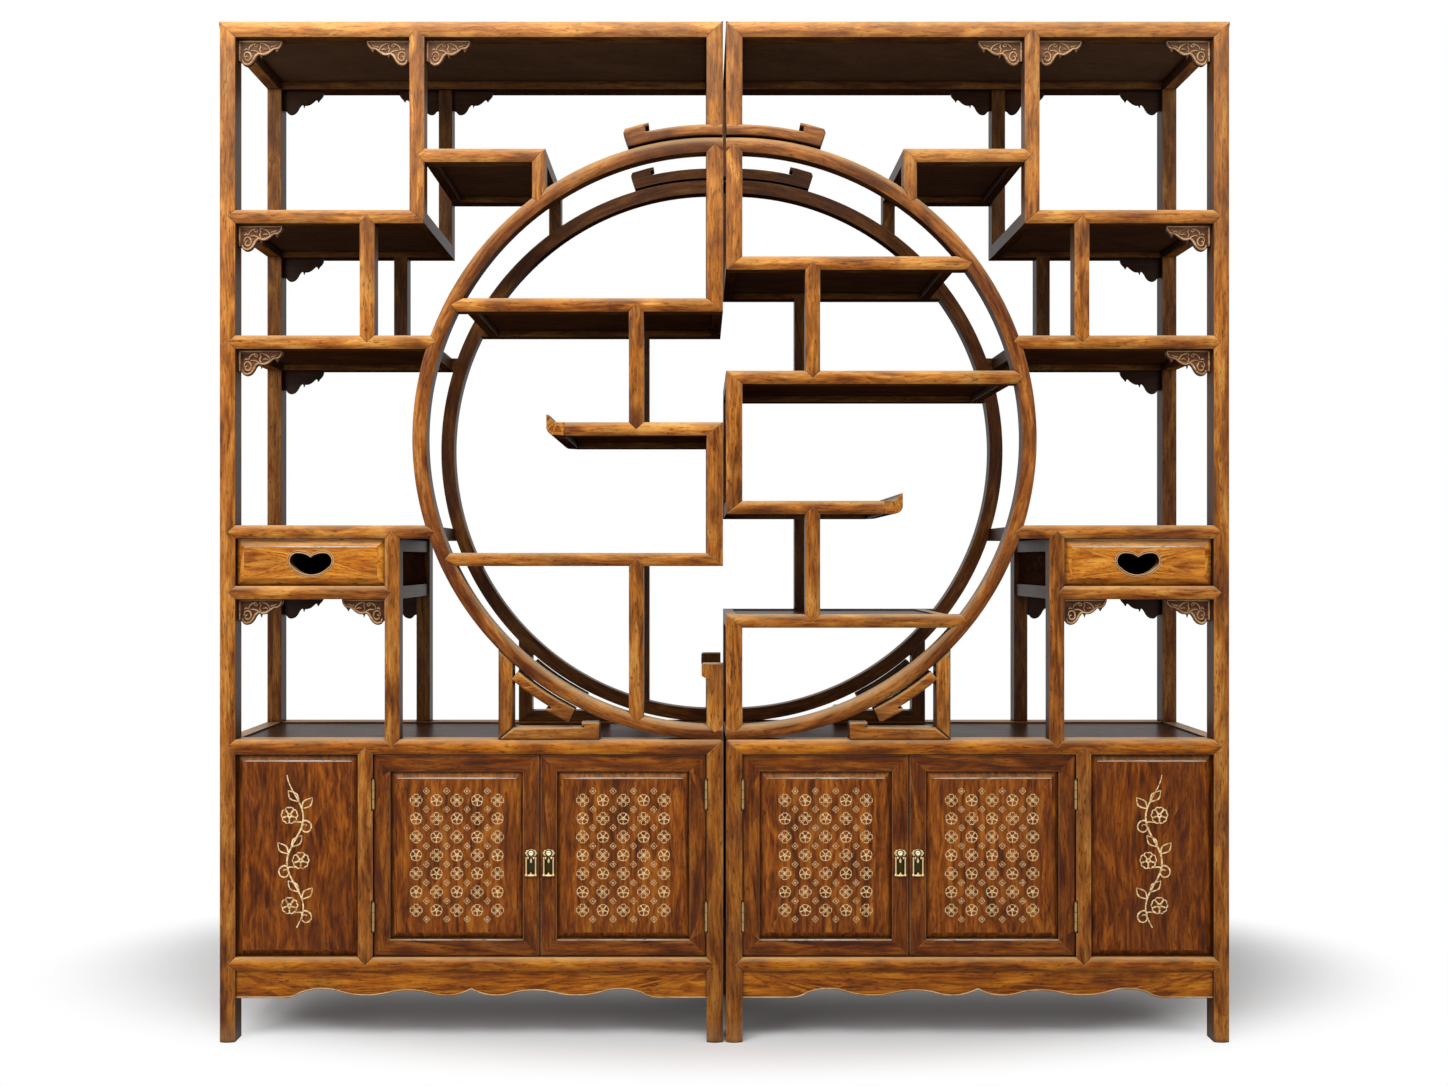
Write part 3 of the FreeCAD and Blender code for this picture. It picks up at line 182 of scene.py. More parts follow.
# Bars of the frames: dense golden-brown hardwood, planed to a round face and oiled, with a painted
# highlight and some wear on the arrises. The inner faces, the undersides and the rear frame get
# painted shade.
# The oil gives a low satin gleam. Real pores are finer, and drawn this coarse so that they show.
cabinet_outer = cad_box[1][0]
ring_centre_z = 1.183
ring_outer, ring_inner = 0.590, 0.562
figure_width = 0.030
streak_width = 0.0055
fleck_width = 0.0030
pore_width = 0.0012
patina_width = 0.070
crevice_reach = 0.010
side_thickness = 0.030
board_shift = (3.7, 2.3, 5.1)
sways_per_metre, sway_size = 9.0, 0.016
tone_stops = (0.37, 0.45, 0.53, 0.63)
wood_ior = 1.5


def hardwood(name, along, tones, rear=0.38, inner=0.80, edge_wear_and_highlight=0.6, edge_wear_and_highlight_width=0.0028,
             low_edges=0.35, patina=0.55, specular=0.1, flame=0.8, mitres=0.7, smoothed=0.0,
             lit=0.32, about=None):
    """Oiled wood with its grain along x, y, z, round the moon ring, or round a mitred frame."""
    made = empty_material(name)
    tree = made.node_tree
    place = node(tree, "TexCoord").outputs
    geometry = node(tree, "NewGeometry").outputs
    position = place["Object"]
    x, y, height = node(tree, "SeparateXYZ", {0: position}).outputs
    if along == "ring":
        up = node(tree, "Math", {0: height, 1: ring_centre_z}, operation="SUBTRACT")
        turn = node(tree, "Math", {0: x, 1: up}, operation="ARCTAN2")
        length = node(tree, "Math", {0: turn, 1: ring_outer}, operation="MULTIPLY")
        flat = node(tree, "CombineXYZ", {0: x, 2: up})
        radius = node(tree, "VectorMath", {0: flat}, operation="LENGTH").outputs["Value"]
        position = node(tree, "CombineXYZ", {0: length, 1: y, 2: radius})
    if along == "frame":
        middle, half_width, middle_z, half_height = about
        offsets = (node(tree, "Math", {0: at, 1: centre}, operation="SUBTRACT")
                   for at, centre in ((x, middle), (height, middle_z)))
        beside, above = (node(tree, "Math", {0: by}, operation="ABSOLUTE") for by in offsets)
        across = node(tree, "Math", {0: above, 1: half_height - half_width}, operation="SUBTRACT")
        is_rail = node(tree, "Math", {0: across, 1: beside}, operation="GREATER_THAN")

    def stretched(vector, ratio):
        """The place with the grain drawn out along its own length."""
        short, deep = 1 / ratio, 0.4
        scales = {"x": (short, deep, 1), "y": (1, short, 1), "z": (1, deep, short),
                  "ring": (short, deep, 1)}
        if along == "frame":
            stretch = node(tree, "Mix", {0: is_rail, 4: scales["z"], 5: scales["x"]},
                           data_type="VECTOR").outputs[1]
        else:
            stretch = scales[along]
        return node(tree, "VectorMath", {0: vector, 1: stretch}, operation="MULTIPLY")

    moved = node(tree, "VectorMath", {0: board_shift, 3: geometry["Random Per Island"]},
                 operation="SCALE")
    shifted = node(tree, "VectorMath", {0: position, 1: moved}, operation="ADD")
    sway = node(tree, "TexNoise", {"Vector": shifted, "Scale": sways_per_metre, "Detail": 1.0})
    sway = node(tree, "VectorMath", {0: sway.outputs["Color"], 3: sway_size}, operation="SCALE")
    wavy = node(tree, "VectorMath", {0: shifted, 1: sway}, operation="ADD")
    figure, streaks, flecks, clouds, pores = (
        node(tree, "TexNoise", {"Vector": stretched(vector, ratio), "Scale": 1 / width, **rest})
        for vector, ratio, width, rest in (
            (wavy, 4.5, figure_width, {"Detail": 3.0, "Distortion": flame}),
            (wavy, 11.0, streak_width, {"Detail": 3.0, "Roughness": 0.6}),
            (wavy, 5.0, fleck_width, {"Detail": 2.0}),
            (shifted, 1.8, patina_width, {"Detail": 4.0, "Roughness": 0.6}),
            (wavy, 16.0, pore_width, {"Detail": 1.0})))
    tone = node(tree, "Mix", {0: 0.42, 2: figure, 3: streaks})
    bands = node(tree, "ValToRGB", {0: tone}, stops=zip(tone_stops, tones))

    def stain(colour, tint, *measures):
        """A tint over the colour, as strong as the product of its measures. Each measure is a
        value, the range that it is read in, and the strengths at both ends of that range."""
        strength = 1.0
        for value, low, high, least, most in measures:
            share = node(tree, "MapRange", {0: value, 1: low, 2: high, 3: least, 4: most})
            strength = node(tree, "Math", {0: strength, 1: share}, operation="MULTIPLY")
        return node(tree, "Mix", {0: strength, 6: colour, 7: linear(tint)},
                    data_type="RGBA").outputs[2]

    # Old oil in clouds, dark flecks, a fall of light from top to floor, worn feet, open pores
    dark = "#1c0f09"
    colour = stain(bands, "#50291a", (clouds, 0.46, 0.68, 0.0, patina))
    colour = stain(colour, "#3a1a09", (flecks, 0.58, 0.70, 0.0, 0.7))
    colour = stain(colour, "#3d1c08", (height, 0.1, 1.8, 0.38, 0.0))
    colour = stain(colour, "#f0c69c", (height, 1.4, 2.0, 0.0, 0.11))
    colour = stain(colour, "#a5825c", (height, 0.005, 0.045, 0.7, 0.0),
                   (clouds, 0.42, 0.6, 0.2, 1.0))
    colour = stain(colour, dark, (pores, 0.60, 0.70, 0.0, 0.4))

    # Dark lines at mitres, painted shade and painted highlight on lower and upper slopes, pale
    # arrises, painted shade in crevices
    open_air = node(tree, "AmbientOcclusion", {"Distance": crevice_reach}, samples=4).outputs["AO"]
    rounded = node(tree, "Bevel", {"Radius": edge_wear_and_highlight_width}, samples=4)
    flatness = node(tree, "VectorMath", {0: rounded, 1: geometry["True Normal"]},
                    operation="DOT_PRODUCT").outputs["Value"]
    sideways, _, upward = node(tree, "SeparateXYZ", {0: rounded}).outputs
    slanted = node(tree, "Math", {0: sideways, 1: upward}, operation="MULTIPLY")
    slanted = node(tree, "Math", {0: slanted}, operation="ABSOLUTE")
    colour = stain(colour, dark, (slanted, 0.03, 0.12, 0.0, mitres))
    # painted shade on the lower half of a round face, painted highlight on its upper half
    colour = stain(colour, "#3f1d0a", (upward, -0.40, 0.05, 0.40, 0.0))
    colour = stain(colour, "#f2c98f", (upward, 0.12, 0.45, 0.0, lit))
    # pale arrises: a painted highlight, strongest where they face up, and partly wear
    colour = stain(colour, "#f3d3ab", (flatness, 0.97, 0.80, 0.0, edge_wear_and_highlight),
                   (upward, -0.15, 0.55, low_edges, 1.0), (slanted, 0.03, 0.10, 1.0, 1.0 - mitres),
                   (open_air, 0.80, 0.96, 0.0, 1.0))
    # painted shade in crevices, read from the occlusion
    colour = stain(colour, dark, (open_air, 0.35, 0.92, 0.75, 0.0))

    # Painted shade: inward faces of a frame and the undersides are darkened, and so are the fronts
    # of the rear frame
    facing = node(tree, "SeparateXYZ", {0: place["Normal"]}).outputs
    level = node(tree, "Math", {0: facing["Y"]}, operation="ABSOLUTE")
    seen = node(tree, "Math", {0: level, 1: facing["Z"]}, operation="MAXIMUM")
    beyond = node(tree, "Math", {0: x}, operation="ABSOLUTE")
    outside = node(tree, "Math", {0: beyond, 1: cabinet_outer - side_thickness},
                   operation="GREATER_THAN")
    seen = node(tree, "Math", {0: seen, 1: outside}, operation="MAXIMUM")
    colour = stain(colour, dark, (seen, 0.25, 0.80, inner, 0.0))
    colour = stain(colour, dark, (y, -0.12, 0.02, 0.0, rear), (facing["Y"], 0.3, 0.7, 1.0, 0.0))

    # The oil was rubbed to a gleam only where a cloth gets to: not in crevices or underneath
    cut = node(tree, "Math", {0: streaks, 1: pores}, operation="SUBTRACT")
    relief = node(tree, "Bump", {"Strength": 0.12, "Distance": 0.0006, "Height": cut,
                                 "Normal": rounded})
    rough = node(tree, "MapRange", {0: streaks, 3: 0.34 - smoothed, 4: 0.5 - smoothed})
    coat = {"Base Color": colour, "Normal": relief, "IOR": wood_ior}
    oiled = node(tree, "BsdfPrincipled", {**coat, "Roughness": rough,
                                          "Specular IOR Level": specular})
    dry = node(tree, "BsdfPrincipled", {**coat, "Roughness": 0.7, "Specular IOR Level": 0.0})
    below = node(tree, "MapRange", {0: facing["Z"], 1: -0.75, 2: -0.25, 3: 1.0, 4: 0.0})
    shut_in = node(tree, "MapRange", {0: open_air, 1: 0.45, 2: 0.75, 3: 1.0, 4: 0.0})
    unpolished = node(tree, "Math", {0: below, 1: shut_in}, operation="MAXIMUM")
    surface = node(tree, "MixShader", {0: unpolished, 1: oiled, 2: dry})
    node(tree, "OutputMaterial", {"Surface": surface})
    return made


def finish(material, *endings):
    """Gives a finish to the nodes whose shape is right and whose names end so."""
    for name, part in nodes.items():
        if name.endswith(endings):
            for slot in part.material_slots:
                slot.material = material


golden = ("#643410", "#95551b", "#b97128", "#d89646")
bright = ("#703a14", "#a75f20", "#ca7f30", "#e6a550")
bar_x = hardwood("oiled hardwood, grain across", "x", bright, rear=0.70)
bar_z = hardwood("oiled hardwood, grain upright", "z", golden, rear=0.45)
inner_z = hardwood("oiled hardwood, grain upright, dark behind", "z", golden, rear=0.72)
bar_y = hardwood("oiled hardwood, grain front to rear", "y", golden, inner=0.82)
finish(bar_x, "_top_rails", "shelf_rails", "scroll_ends")
finish(bar_z, "corner_posts")
finish(inner_z, "ring_posts", "_dividers")
finish(bar_y, "side_rails", "cross_rails")


# Boards: wide panels that float in the frames, stained nearly black, with painted shade underneath.
# They are matt, so that they stay dark against the white room.
stained = ("#241710", "#302015", "#3c281a", "#4a3221")
board_wood = hardwood("dark stained board", "x", stained, rear=0.0, inner=0.25, edge_wear_and_highlight=0.0,
                      patina=0.2, specular=0.012, smoothed=0.10, mitres=0.0, lit=0.0)
inside_wood = hardwood("plain stained inside board", "x", stained, rear=0.2, inner=0.2, edge_wear_and_highlight=0.2,
                       specular=0.0, lit=0.0)
finish(board_wood, "shelf_panels", "top_panels")
finish(inside_wood, "drawer_box", "drawer_case")


# Base: browner than the open part, with raised panels of flat-sawn boards whose edges carry
# a painted highlight, doors with mitred frames, and an apron with a scalloped edge.
chestnut = ("#3e1803", "#693004", "#8a4508", "#b06117")
warm_chestnut = ("#4b2109", "#7b3e0d", "#9c5212", "#be7224")
flat_sawn = {"edge_wear_and_highlight": 0.0, "patina": 0.35, "flame": 2.0, "inner": 0.45, "mitres": 0.5, "lit": 0.08}
base_x = hardwood("base bar, grain across", "x", ("#703608", "#a3560e", "#c87316", "#e69629"),
                  low_edges=0.6, patina=0.5)
base_z = hardwood("base bar, grain upright", "z", ("#592c0b", "#884b15", "#aa6620", "#cb8836"),
                  patina=0.5)
panel_wood = hardwood("flat-sawn panel, grain upright", "z", chestnut, **flat_sawn)
door_wood = hardwood("flat-sawn door panel, grain upright", "z", warm_chestnut, **flat_sawn)
finish(base_x, "_base_rails", "aprons")
finish(base_z, "inner_posts")
finish(panel_wood, "base_panels")
finish(door_wood, "door_panel")
sides = ("left", "right")
door_names = [side + "_" + door for side in sides for door in ("outer_door", "inner_door")]
for door in door_names:
    low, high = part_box(door + "_frame")
    about = ((low.x + high.x) / 2, (high.x - low.x) / 2, (low.z + high.z) / 2,
             (high.z - low.z) / 2)
    wood = hardwood("frame of the " + door.replace("_", " "), "frame",
                    ("#401a04", "#663009", "#85450e", "#aa641e"), about=about, patina=0.5)
    finish(wood, door + "_frame")


# Moon ring: four half rings sawn and bent from thick stock, with the same round face as the
# rails, let into the posts beside the gap.
depth = cad_box[1][1] - cad_box[0][1]
bar_depth = 0.036
face_round = 0.0045
ring_centre_u = 0.971
gap_side_u = 0.990
face_steps = 8
ring_steps = 120
ring_wood = hardwood("oiled hardwood, grain round the ring", "ring",
                     ("#55280e", "#7f4416", "#a05c21", "#c4823b"), mitres=0.0, rear=0.60, lit=0.34)


def in_cabinet(side, rear=False):
    """How a point is put in place in a cabinet, measured in metres from its outer side, from
    its front or its rear, and from the floor."""
    sign = -1 if side == "left" else 1

    def put(u, y, z):
        return Vector((sign * (cabinet_outer - u), cad_box[0][1] + (depth - y if rear else y), z))
    return put


frame_faces = [in_cabinet(side, rear) for side in sides for rear in (False, True)]


def build(name, bm, body, slot, *materials, smooth_angle=40):
    """Makes a piece from a mesh in the row frame, with its finish and its body. The slot is not
    used.
    """
    bmesh.ops.recalc_face_normals(bm, faces=bm.faces)
    mesh = bpy.data.meshes.new(name)
    bm.to_mesh(mesh)
    bm.free()
    for material in materials:
        mesh.materials.append(material)
    mesh.shade_smooth()
    mesh.set_sharp_from_angle(angle=math.radians(smooth_angle))
    piece = add_object(name, mesh)
    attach(piece, body)
    return piece


def round_face(width, bulge, deep):
    """Section of a bar as pairs of a place across it and a depth."""
    points = [(width, deep), (0.0, deep)]
    for i in range(face_steps + 1):
        t = i / face_steps
        points.append((width * t, bulge * (2 * t - 1) ** 2))
    return points


def gap_angle(radius):
    """Angle past straight up at which a circle of the ring meets the gap."""
    return math.asin((gap_side_u - ring_centre_u) / radius)


def skin(bm, loops, closed_ends=True, number=0):
    """Joins loops of points of equal length into a bar, closed at its ends or into a ring."""
    rings = [[bm.verts.new(p) for p in loop] for loop in loops]
    pairs = list(zip(rings, rings[1:]))
    if not closed_ends:
        pairs.append((rings[-1], rings[0]))
    made = []
    for a, b in pairs:
        for i in range(len(a)):
            j = (i + 1) % len(a)
            made.append(bm.faces.new((a[i], a[j], b[j], b[i])))
    if closed_ends:
        made += [bm.faces.new(rings[0]), bm.faces.new(rings[-1][::-1])]
    for face in made:
        face.material_index = number


bm = bmesh.new()
for put in frame_faces:
    loops = []
    for i in range(ring_steps + 1):
        loop = []
        for across, y in round_face(ring_outer - ring_inner, face_round, bar_depth):
            radius = ring_inner + across
            start = -gap_angle(radius)
            turn = start + (math.pi - 2 * start) * i / ring_steps
            loop.append(put(ring_centre_u - radius * math.sin(turn), y,
                            ring_centre_z + radius * math.cos(turn)))
        loops.append(loop)
    skin(bm, loops)
ring = build("moon_ring_halves", bm, "cabinets", "wood_bent", ring_wood)
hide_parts("moon_ring")


# Crown hooks and corner brackets: strips that follow the ring outside it and end in squared
# hooks, cut from one board each and rounded on the face.
strip_inner, strip_outer = 0.595, 0.616
strip_edge = 0.007
edge_steps = 4
base_top, foot_top = 0.593, 0.617
# A hook is written as the angles where it starts and ends, and how far it stands out
crown_hook = (12.4, 16.3, 0.016)
bracket_hook = (149.0, 153.0, 0.010)
bracket_u = (0.550, 0.579)
bracket_end_u = 0.748
head_u = bracket_end_u - 0.031
bracket_wood = hardwood("oiled hardwood of the brackets", "x", golden, mitres=0.0, rear=0.72)


def rounded_plate(bm, put, outline, y_front, y_back, edge, number=0):
    """Plate with an outline in u and z, whose front edges are rounded off."""
    count = len(outline)
    area = sum(a[0] * b[1] - b[0] * a[1] for a, b in zip(outline, outline[1:] + outline[:1]))
    turn = 1 if area > 0 else -1
    inward = []
    for i in range(count):
        before, here, after = (Vector(outline[j % count]) for j in (i - 1, i, i + 1))
        first, second = (here - before).normalized(), (after - here).normalized()
        normals = [Vector((-d.y, d.x)) * turn for d in (first, second)]
        middle = (normals[0] + normals[1]).normalized()
        room = 0.45 * min((here - before).length, (after - here).length)
        inward.append(middle / max(0.35, middle.dot(normals[0])) * min(1.0, room / edge))
    loops = [[put(u, y_back, z) for u, z in outline]]
    for k in range(edge_steps + 1):
        turn_by = math.pi / 2 * k / edge_steps
        inset = edge * (1 - math.cos(turn_by))
        y = y_front + edge * 0.6 * (1 - math.sin(turn_by))
        loops.append([put(u + n.x * inset, y, z + n.y * inset)
                      for (u, z), n in zip(outline, inward)])
    skin(bm, loops, number=number)


def on_ring(angle, radius):
    """Point at an angle from straight up towards the outer side, in degrees."""
    turn = math.radians(angle)
    return (ring_centre_u - radius * math.sin(turn), ring_centre_z + radius * math.cos(turn))


def hooked_strip(start, stop, end, rise):
    """Outline of a strip from start to stop, with a hooked head from there to end."""
    count = max(4, round(abs(stop - start) / 2))
    angles = [start + (stop - start) * i / count for i in range(count + 1)]
    lip = stop - 0.8
    outline = [on_ring(a, strip_inner) for a in angles]
    outline += [on_ring(end, strip_inner), on_ring(end + 0.1, strip_outer + rise * 0.55),
                on_ring(end - 0.35, strip_outer + rise - 0.001),
                on_ring(stop + 0.4, strip_outer + rise), on_ring(lip, strip_outer + rise),
                on_ring(lip, strip_outer + rise - 0.006),
                on_ring(stop - 0.1, strip_outer + rise - 0.0075)]
    outline += [on_ring(a, strip_outer) for a in angles[::-1]]
    return outline


outline = hooked_strip(-math.degrees(gap_angle(strip_inner)), *crown_hook)
outline[0] = (gap_side_u, outline[0][1])
outline[-1] = (gap_side_u, outline[-1][1])
bm = bmesh.new()
for put in frame_faces:
    rounded_plate(bm, put, outline, 0.0, bar_depth, strip_edge)
crown = build("crown_hook_strips", bm, "cabinets", "wood_bent", ring_wood)
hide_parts("crown_hooks")

upright = [(bracket_u[0], base_top), (bracket_u[1], foot_top)]
for i in range(3):
    u = bracket_u[1] + (bracket_u[0] - bracket_u[1]) * i / 2
    upright.append((u, ring_centre_z - math.sqrt(ring_outer ** 2 - (u - ring_centre_u) ** 2)))
foot = [(bracket_u[0], base_top), (bracket_end_u, base_top), (bracket_end_u, foot_top + 0.007),
        (bracket_end_u - 0.003, foot_top + 0.010), (head_u - 0.004, foot_top + 0.010),
        (head_u - 0.004, foot_top + 0.004), (head_u, foot_top + 0.0035), (head_u, foot_top),
        (bracket_u[1], foot_top)]
start = 180 - math.degrees(math.asin((ring_centre_u - bracket_u[1] + 0.004) / strip_outer))
bm = bmesh.new()
for put in frame_faces:
    rounded_plate(bm, put, upright, 0.0, bar_depth, strip_edge, 1)
    rounded_plate(bm, put, foot, 0.0, bar_depth, strip_edge)
    rounded_plate(bm, put, hooked_strip(start, *bracket_hook), 0.0, bar_depth, strip_edge)
brackets = build("corner_bracket_sets", bm, "cabinets", "wood_bent", bracket_wood, inner_z)
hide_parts("corner_brackets")


# Spandrels: small boards of pale close-grained wood under the rails, carved in relief as a
# leafy scroll, with the ground left dark and the raised stems rubbed pale. Their edge and
# stems are written as shares of the board's length and height, the stems' widths in mm.
spandrel_length, spandrel_height = 0.0900, 0.0520
spandrel_y = (0.0222, 0.0285)
stem_back, stem_front = spandrel_y[0] + 0.0006, 0.0203
ground_bevel = 0.0005
spandrel_places = [((0.034, 1.970), 1), ((0.3755, 1.970), -1), ((0.4045, 1.970), 1),
                   ((0.034, 1.605), 1), ((0.034, 1.359), 1), ((0.034, 0.868), 1),
                   ((0.327, 0.868), -1)]
edge_runs = [
    [(0.0, 0.0), (0.985, 0.0)],
    [(0.985, -0.06), (0.965, -0.19), (0.925, -0.29)],
    [(0.925, -0.29), (0.885, -0.36), (0.846, -0.465)],
    [(0.846, -0.465), (0.825, -0.39), (0.79, -0.354), (0.736, -0.433), (0.665, -0.528),
     (0.586, -0.583), (0.524, -0.59), (0.502, -0.70)],
    [(0.502, -0.70), (0.485, -0.60), (0.454, -0.56), (0.40, -0.654), (0.348, -0.811),
     (0.278, -0.937), (0.189, -0.985), (0.119, -0.937), (0.07, -0.827)],
    [(0.0, -0.80), (0.0, -0.4)]]
stems = [
    ([(0.0, -0.045), (0.5, -0.045), (0.96, -0.045)], (4.4, 4.4, 2.6)),
    ([(0.028, -0.02), (0.028, -0.4), (0.028, -0.80)], (4.8, 4.8, 4.0)),
    ([(0.955, -0.07), (0.93, -0.19), (0.87, -0.30), (0.79, -0.31), (0.72, -0.39), (0.65, -0.475),
      (0.58, -0.53), (0.52, -0.53), (0.45, -0.50), (0.38, -0.60), (0.325, -0.76), (0.27, -0.87),
      (0.19, -0.92), (0.12, -0.87), (0.095, -0.76)], (2.6, 3.8, 4.2, 4.4, 3.4)),
    ([(0.13, -0.66), (0.15, -0.50), (0.22, -0.45), (0.275, -0.54), (0.285, -0.68), (0.235, -0.78),
      (0.165, -0.75), (0.165, -0.64), (0.205, -0.62)], (2.2, 3.6, 3.6, 3.0)),
    ([(0.235, -0.40), (0.25, -0.28), (0.31, -0.18), (0.385, -0.13)], (2.0, 3.2, 3.2)),
    ([(0.385, -0.14), (0.43, -0.22), (0.40, -0.26), (0.36, -0.21), (0.385, -0.14)],
     (2.4, 2.8, 2.4)),
    ([(0.49, -0.11), (0.60, -0.17), (0.67, -0.27), (0.70, -0.38)], (2.4, 3.4, 3.2)),
    ([(0.475, -0.15), (0.50, -0.26), (0.475, -0.36), (0.50, -0.47)], (2.4, 3.2, 2.6)),
    ([(0.27, -0.42), (0.34, -0.40), (0.40, -0.43), (0.46, -0.49)], (2.0, 3.0, 2.6)),
    ([(0.72, -0.27), (0.79, -0.24), (0.86, -0.20)], (3.0, 2.6, 1.6)),
    ([(0.14, -0.40), (0.18, -0.34), (0.215, -0.38)], (2.0, 3.0, 2.0)),
    ([(0.55, -0.36), (0.61, -0.34), (0.66, -0.37)], (1.8, 2.8, 1.8))]
ground_wood = hardwood("carved ground, left dark", "x",
                       ("#38190e", "#532c1b", "#6d4029", "#835339"),
                       edge_wear_and_highlight=0.3, patina=0.3, rear=0.85, mitres=0.0)
stem_wood = hardwood("carved stems, rubbed pale", "x",
                     ("#96633c", "#c48f60", "#dfb080", "#f3cfa2"), edge_wear_and_highlight_width=0.0012,
                     patina=0.25, rear=0.85, low_edges=0.6, inner=0.55, mitres=0.0)


def smooth(points, steps, closed=False):
    """Points on a smooth curve through the given ones."""
    count = len(points)
    line = []
    for i in range(count if closed else count - 1):
        near = [(i + k) % count if closed else min(max(i + k, 0), count - 1)
                for k in (-1, 0, 1, 2)]
        a, b, c, d = (Vector(points[j]) for j in near)
        for s in range(steps):
            t = s / steps
            line.append(tuple(0.5 * (2 * b + (c - a) * t + (2 * a - 5 * b + 4 * c - d) * t * t
                                     + (3 * b - a - 3 * c + d) * t ** 3)))
    if not closed:
        line.append(tuple(points[-1]))
    return line


def stroke(bm, put, path, widths, y, rise, closed=False, number=0):
    """Raised line along a path in u and z: round on its face, tapered where widths says so."""
    count = len(path)
    if isinstance(widths, (int, float)):
        widths = (widths, widths)
    loops = []
    for i in range(count):
        before = Vector(path[(i - 1) % count if closed else max(i - 1, 0)])
        after = Vector(path[(i + 1) % count if closed else min(i + 1, count - 1)])
        heading = (after - before).normalized()
        beside = Vector((-heading.y, heading.x))
        at = i / (count - 1) * (len(widths) - 1)
        k = min(int(at), len(widths) - 2)
        half = (widths[k] + (widths[k + 1] - widths[k]) * (at - k)) / 2
        here = Vector(path[i])
        loop = []
        for across, up in ((-1, 0), (-0.8, 0.6), (-0.3, 0.95), (0.3, 0.95), (0.8, 0.6), (1, 0)):
            spot = here + beside * (half * across)
            loop.append(put(spot.x, y - rise * up, spot.y))
        loops.append(loop)
    skin(bm, loops, closed_ends=not closed, number=number)


def ground_mesh():
    """Sawn board of one spandrel, as a flat filled curve."""
    curve = bpy.data.curves.new("spandrel outline", "CURVE")
    curve.dimensions = "2D"
    curve.fill_mode = "BOTH"
    curve.extrude = (spandrel_y[1] - spandrel_y[0]) / 2 - ground_bevel
    curve.bevel_depth = ground_bevel
    curve.offset = -ground_bevel
    edge = []
    for run in edge_runs:
        edge += smooth(run, 4)[:-1] if len(run) > 2 else run
    spline = curve.splines.new("POLY")
    spline.points.add(len(edge) - 1)
    for point, (x, z) in zip(spline.points, edge):
        point.co = (x * spandrel_length, z * spandrel_height, 0, 1)
    spline.use_cyclic_u = True
    holder = bpy.data.objects.new("spandrel outline", curve)
    mesh = bpy.data.meshes.new_from_object(holder)
    bpy.data.objects.remove(holder)
    bpy.data.curves.remove(curve)
    return mesh


ground = ground_mesh()
bm = bmesh.new()
for put in frame_faces:
    for (corner_u, corner_z), way in spandrel_places:
        made = [bm.verts.new(put(corner_u + way * v.co.x, sum(spandrel_y) / 2 - v.co.z,
                                 corner_z + v.co.y)) for v in ground.vertices]
        for face in ground.polygons:
            bm.faces.new([made[i] for i in face.vertices])
        for path, widths in stems:
            line = [(corner_u + way * x * spandrel_length, corner_z + z * spandrel_height)
                    for x, z in smooth(path, 4)]
            stroke(bm, put, line, [w / 1000 for w in widths], stem_back, stem_back - stem_front,
                   number=1)
bpy.data.meshes.remove(ground)
spandrels = build("carved_spandrels", bm, "cabinets", "wood_bent", ground_wood, stem_wood,
                  smooth_angle=55)
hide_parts("spandrels")


# Aprons: the front ones have a scalloped lower edge with a fine raised bead, polished pale.
# Each arc of the edge is a middle and an end, as shares of half the apron and of its rise.
apron_foot, apron_rise = 0.085, 0.017
apron_u = (0.034, 0.958)
apron_face = 0.008
bead_width, bead_rise = 0.0030, 0.0014
edge_arcs = [[(0.2, 0)], [(0.24, 0.13), (0.27, 0.5)], [(0.344, 1), (0.45, 0.63)],
             [(0.558, 0.26), (0.645, 0.56)], [(0.732, 0.85), (0.82, 0.56)],
             [(0.911, 0.26), (1, 0.98)]]
bead_and_highlight_wood = hardwood("polished bead and painted highlight", "x", ("#b0773c", "#d9a567", "#eec794", "#f8e0bb"), edge_wear_and_highlight=0.7,
                     edge_wear_and_highlight_width=0.001, patina=0.15, low_edges=0.9, inner=0.3, mitres=0.0)


def arc_through(a, b, c, steps):
    """Points on the circle through three places, from the first to just before the last."""
    d = 2 * (a[0] * (b[1] - c[1]) + b[0] * (c[1] - a[1]) + c[0] * (a[1] - b[1]))
    sums = [p[0] ** 2 + p[1] ** 2 for p in (a, b, c)]
    x = (sums[0] * (b[1] - c[1]) + sums[1] * (c[1] - a[1]) + sums[2] * (a[1] - b[1])) / d
    y = (sums[0] * (c[0] - b[0]) + sums[1] * (a[0] - c[0]) + sums[2] * (b[0] - a[0])) / d
    radius = math.hypot(a[0] - x, a[1] - y)
    angles = [math.atan2(p[1] - y, p[0] - x) for p in (a, b, c)]
    turn = 1 if d > 0 else -1
    whole = (turn * (angles[2] - angles[0])) % (2 * math.pi)
    return [(x + radius * math.cos(angles[0] + turn * whole * i / steps),
             y + radius * math.sin(angles[0] + turn * whole * i / steps)) for i in range(steps)]


half_apron = (apron_u[1] - apron_u[0]) / 2
half_edge = [(0.0, apron_foot)]
last = (0.0, 0.0)
for step in edge_arcs:
    if len(step) == 2:
        spots = [(x * half_apron, apron_foot + z * apron_rise) for x, z in (last, *step)]
        half_edge += arc_through(*spots, 8)
    last = step[-1]
half_edge.append((half_apron, apron_foot + last[1] * apron_rise))
whole_edge = half_edge + [(2 * half_apron - x, z) for x, z in half_edge[-2::-1]]
line = [(apron_u[0] + x, z + bead_width * 0.6) for x, z in whole_edge]
bm = bmesh.new()
for side in sides:
    stroke(bm, in_cabinet(side), line, bead_width, apron_face + 0.0002, bead_rise)
build("apron_beads", bm, "cabinets", "wood_rail", bead_and_highlight_wood)
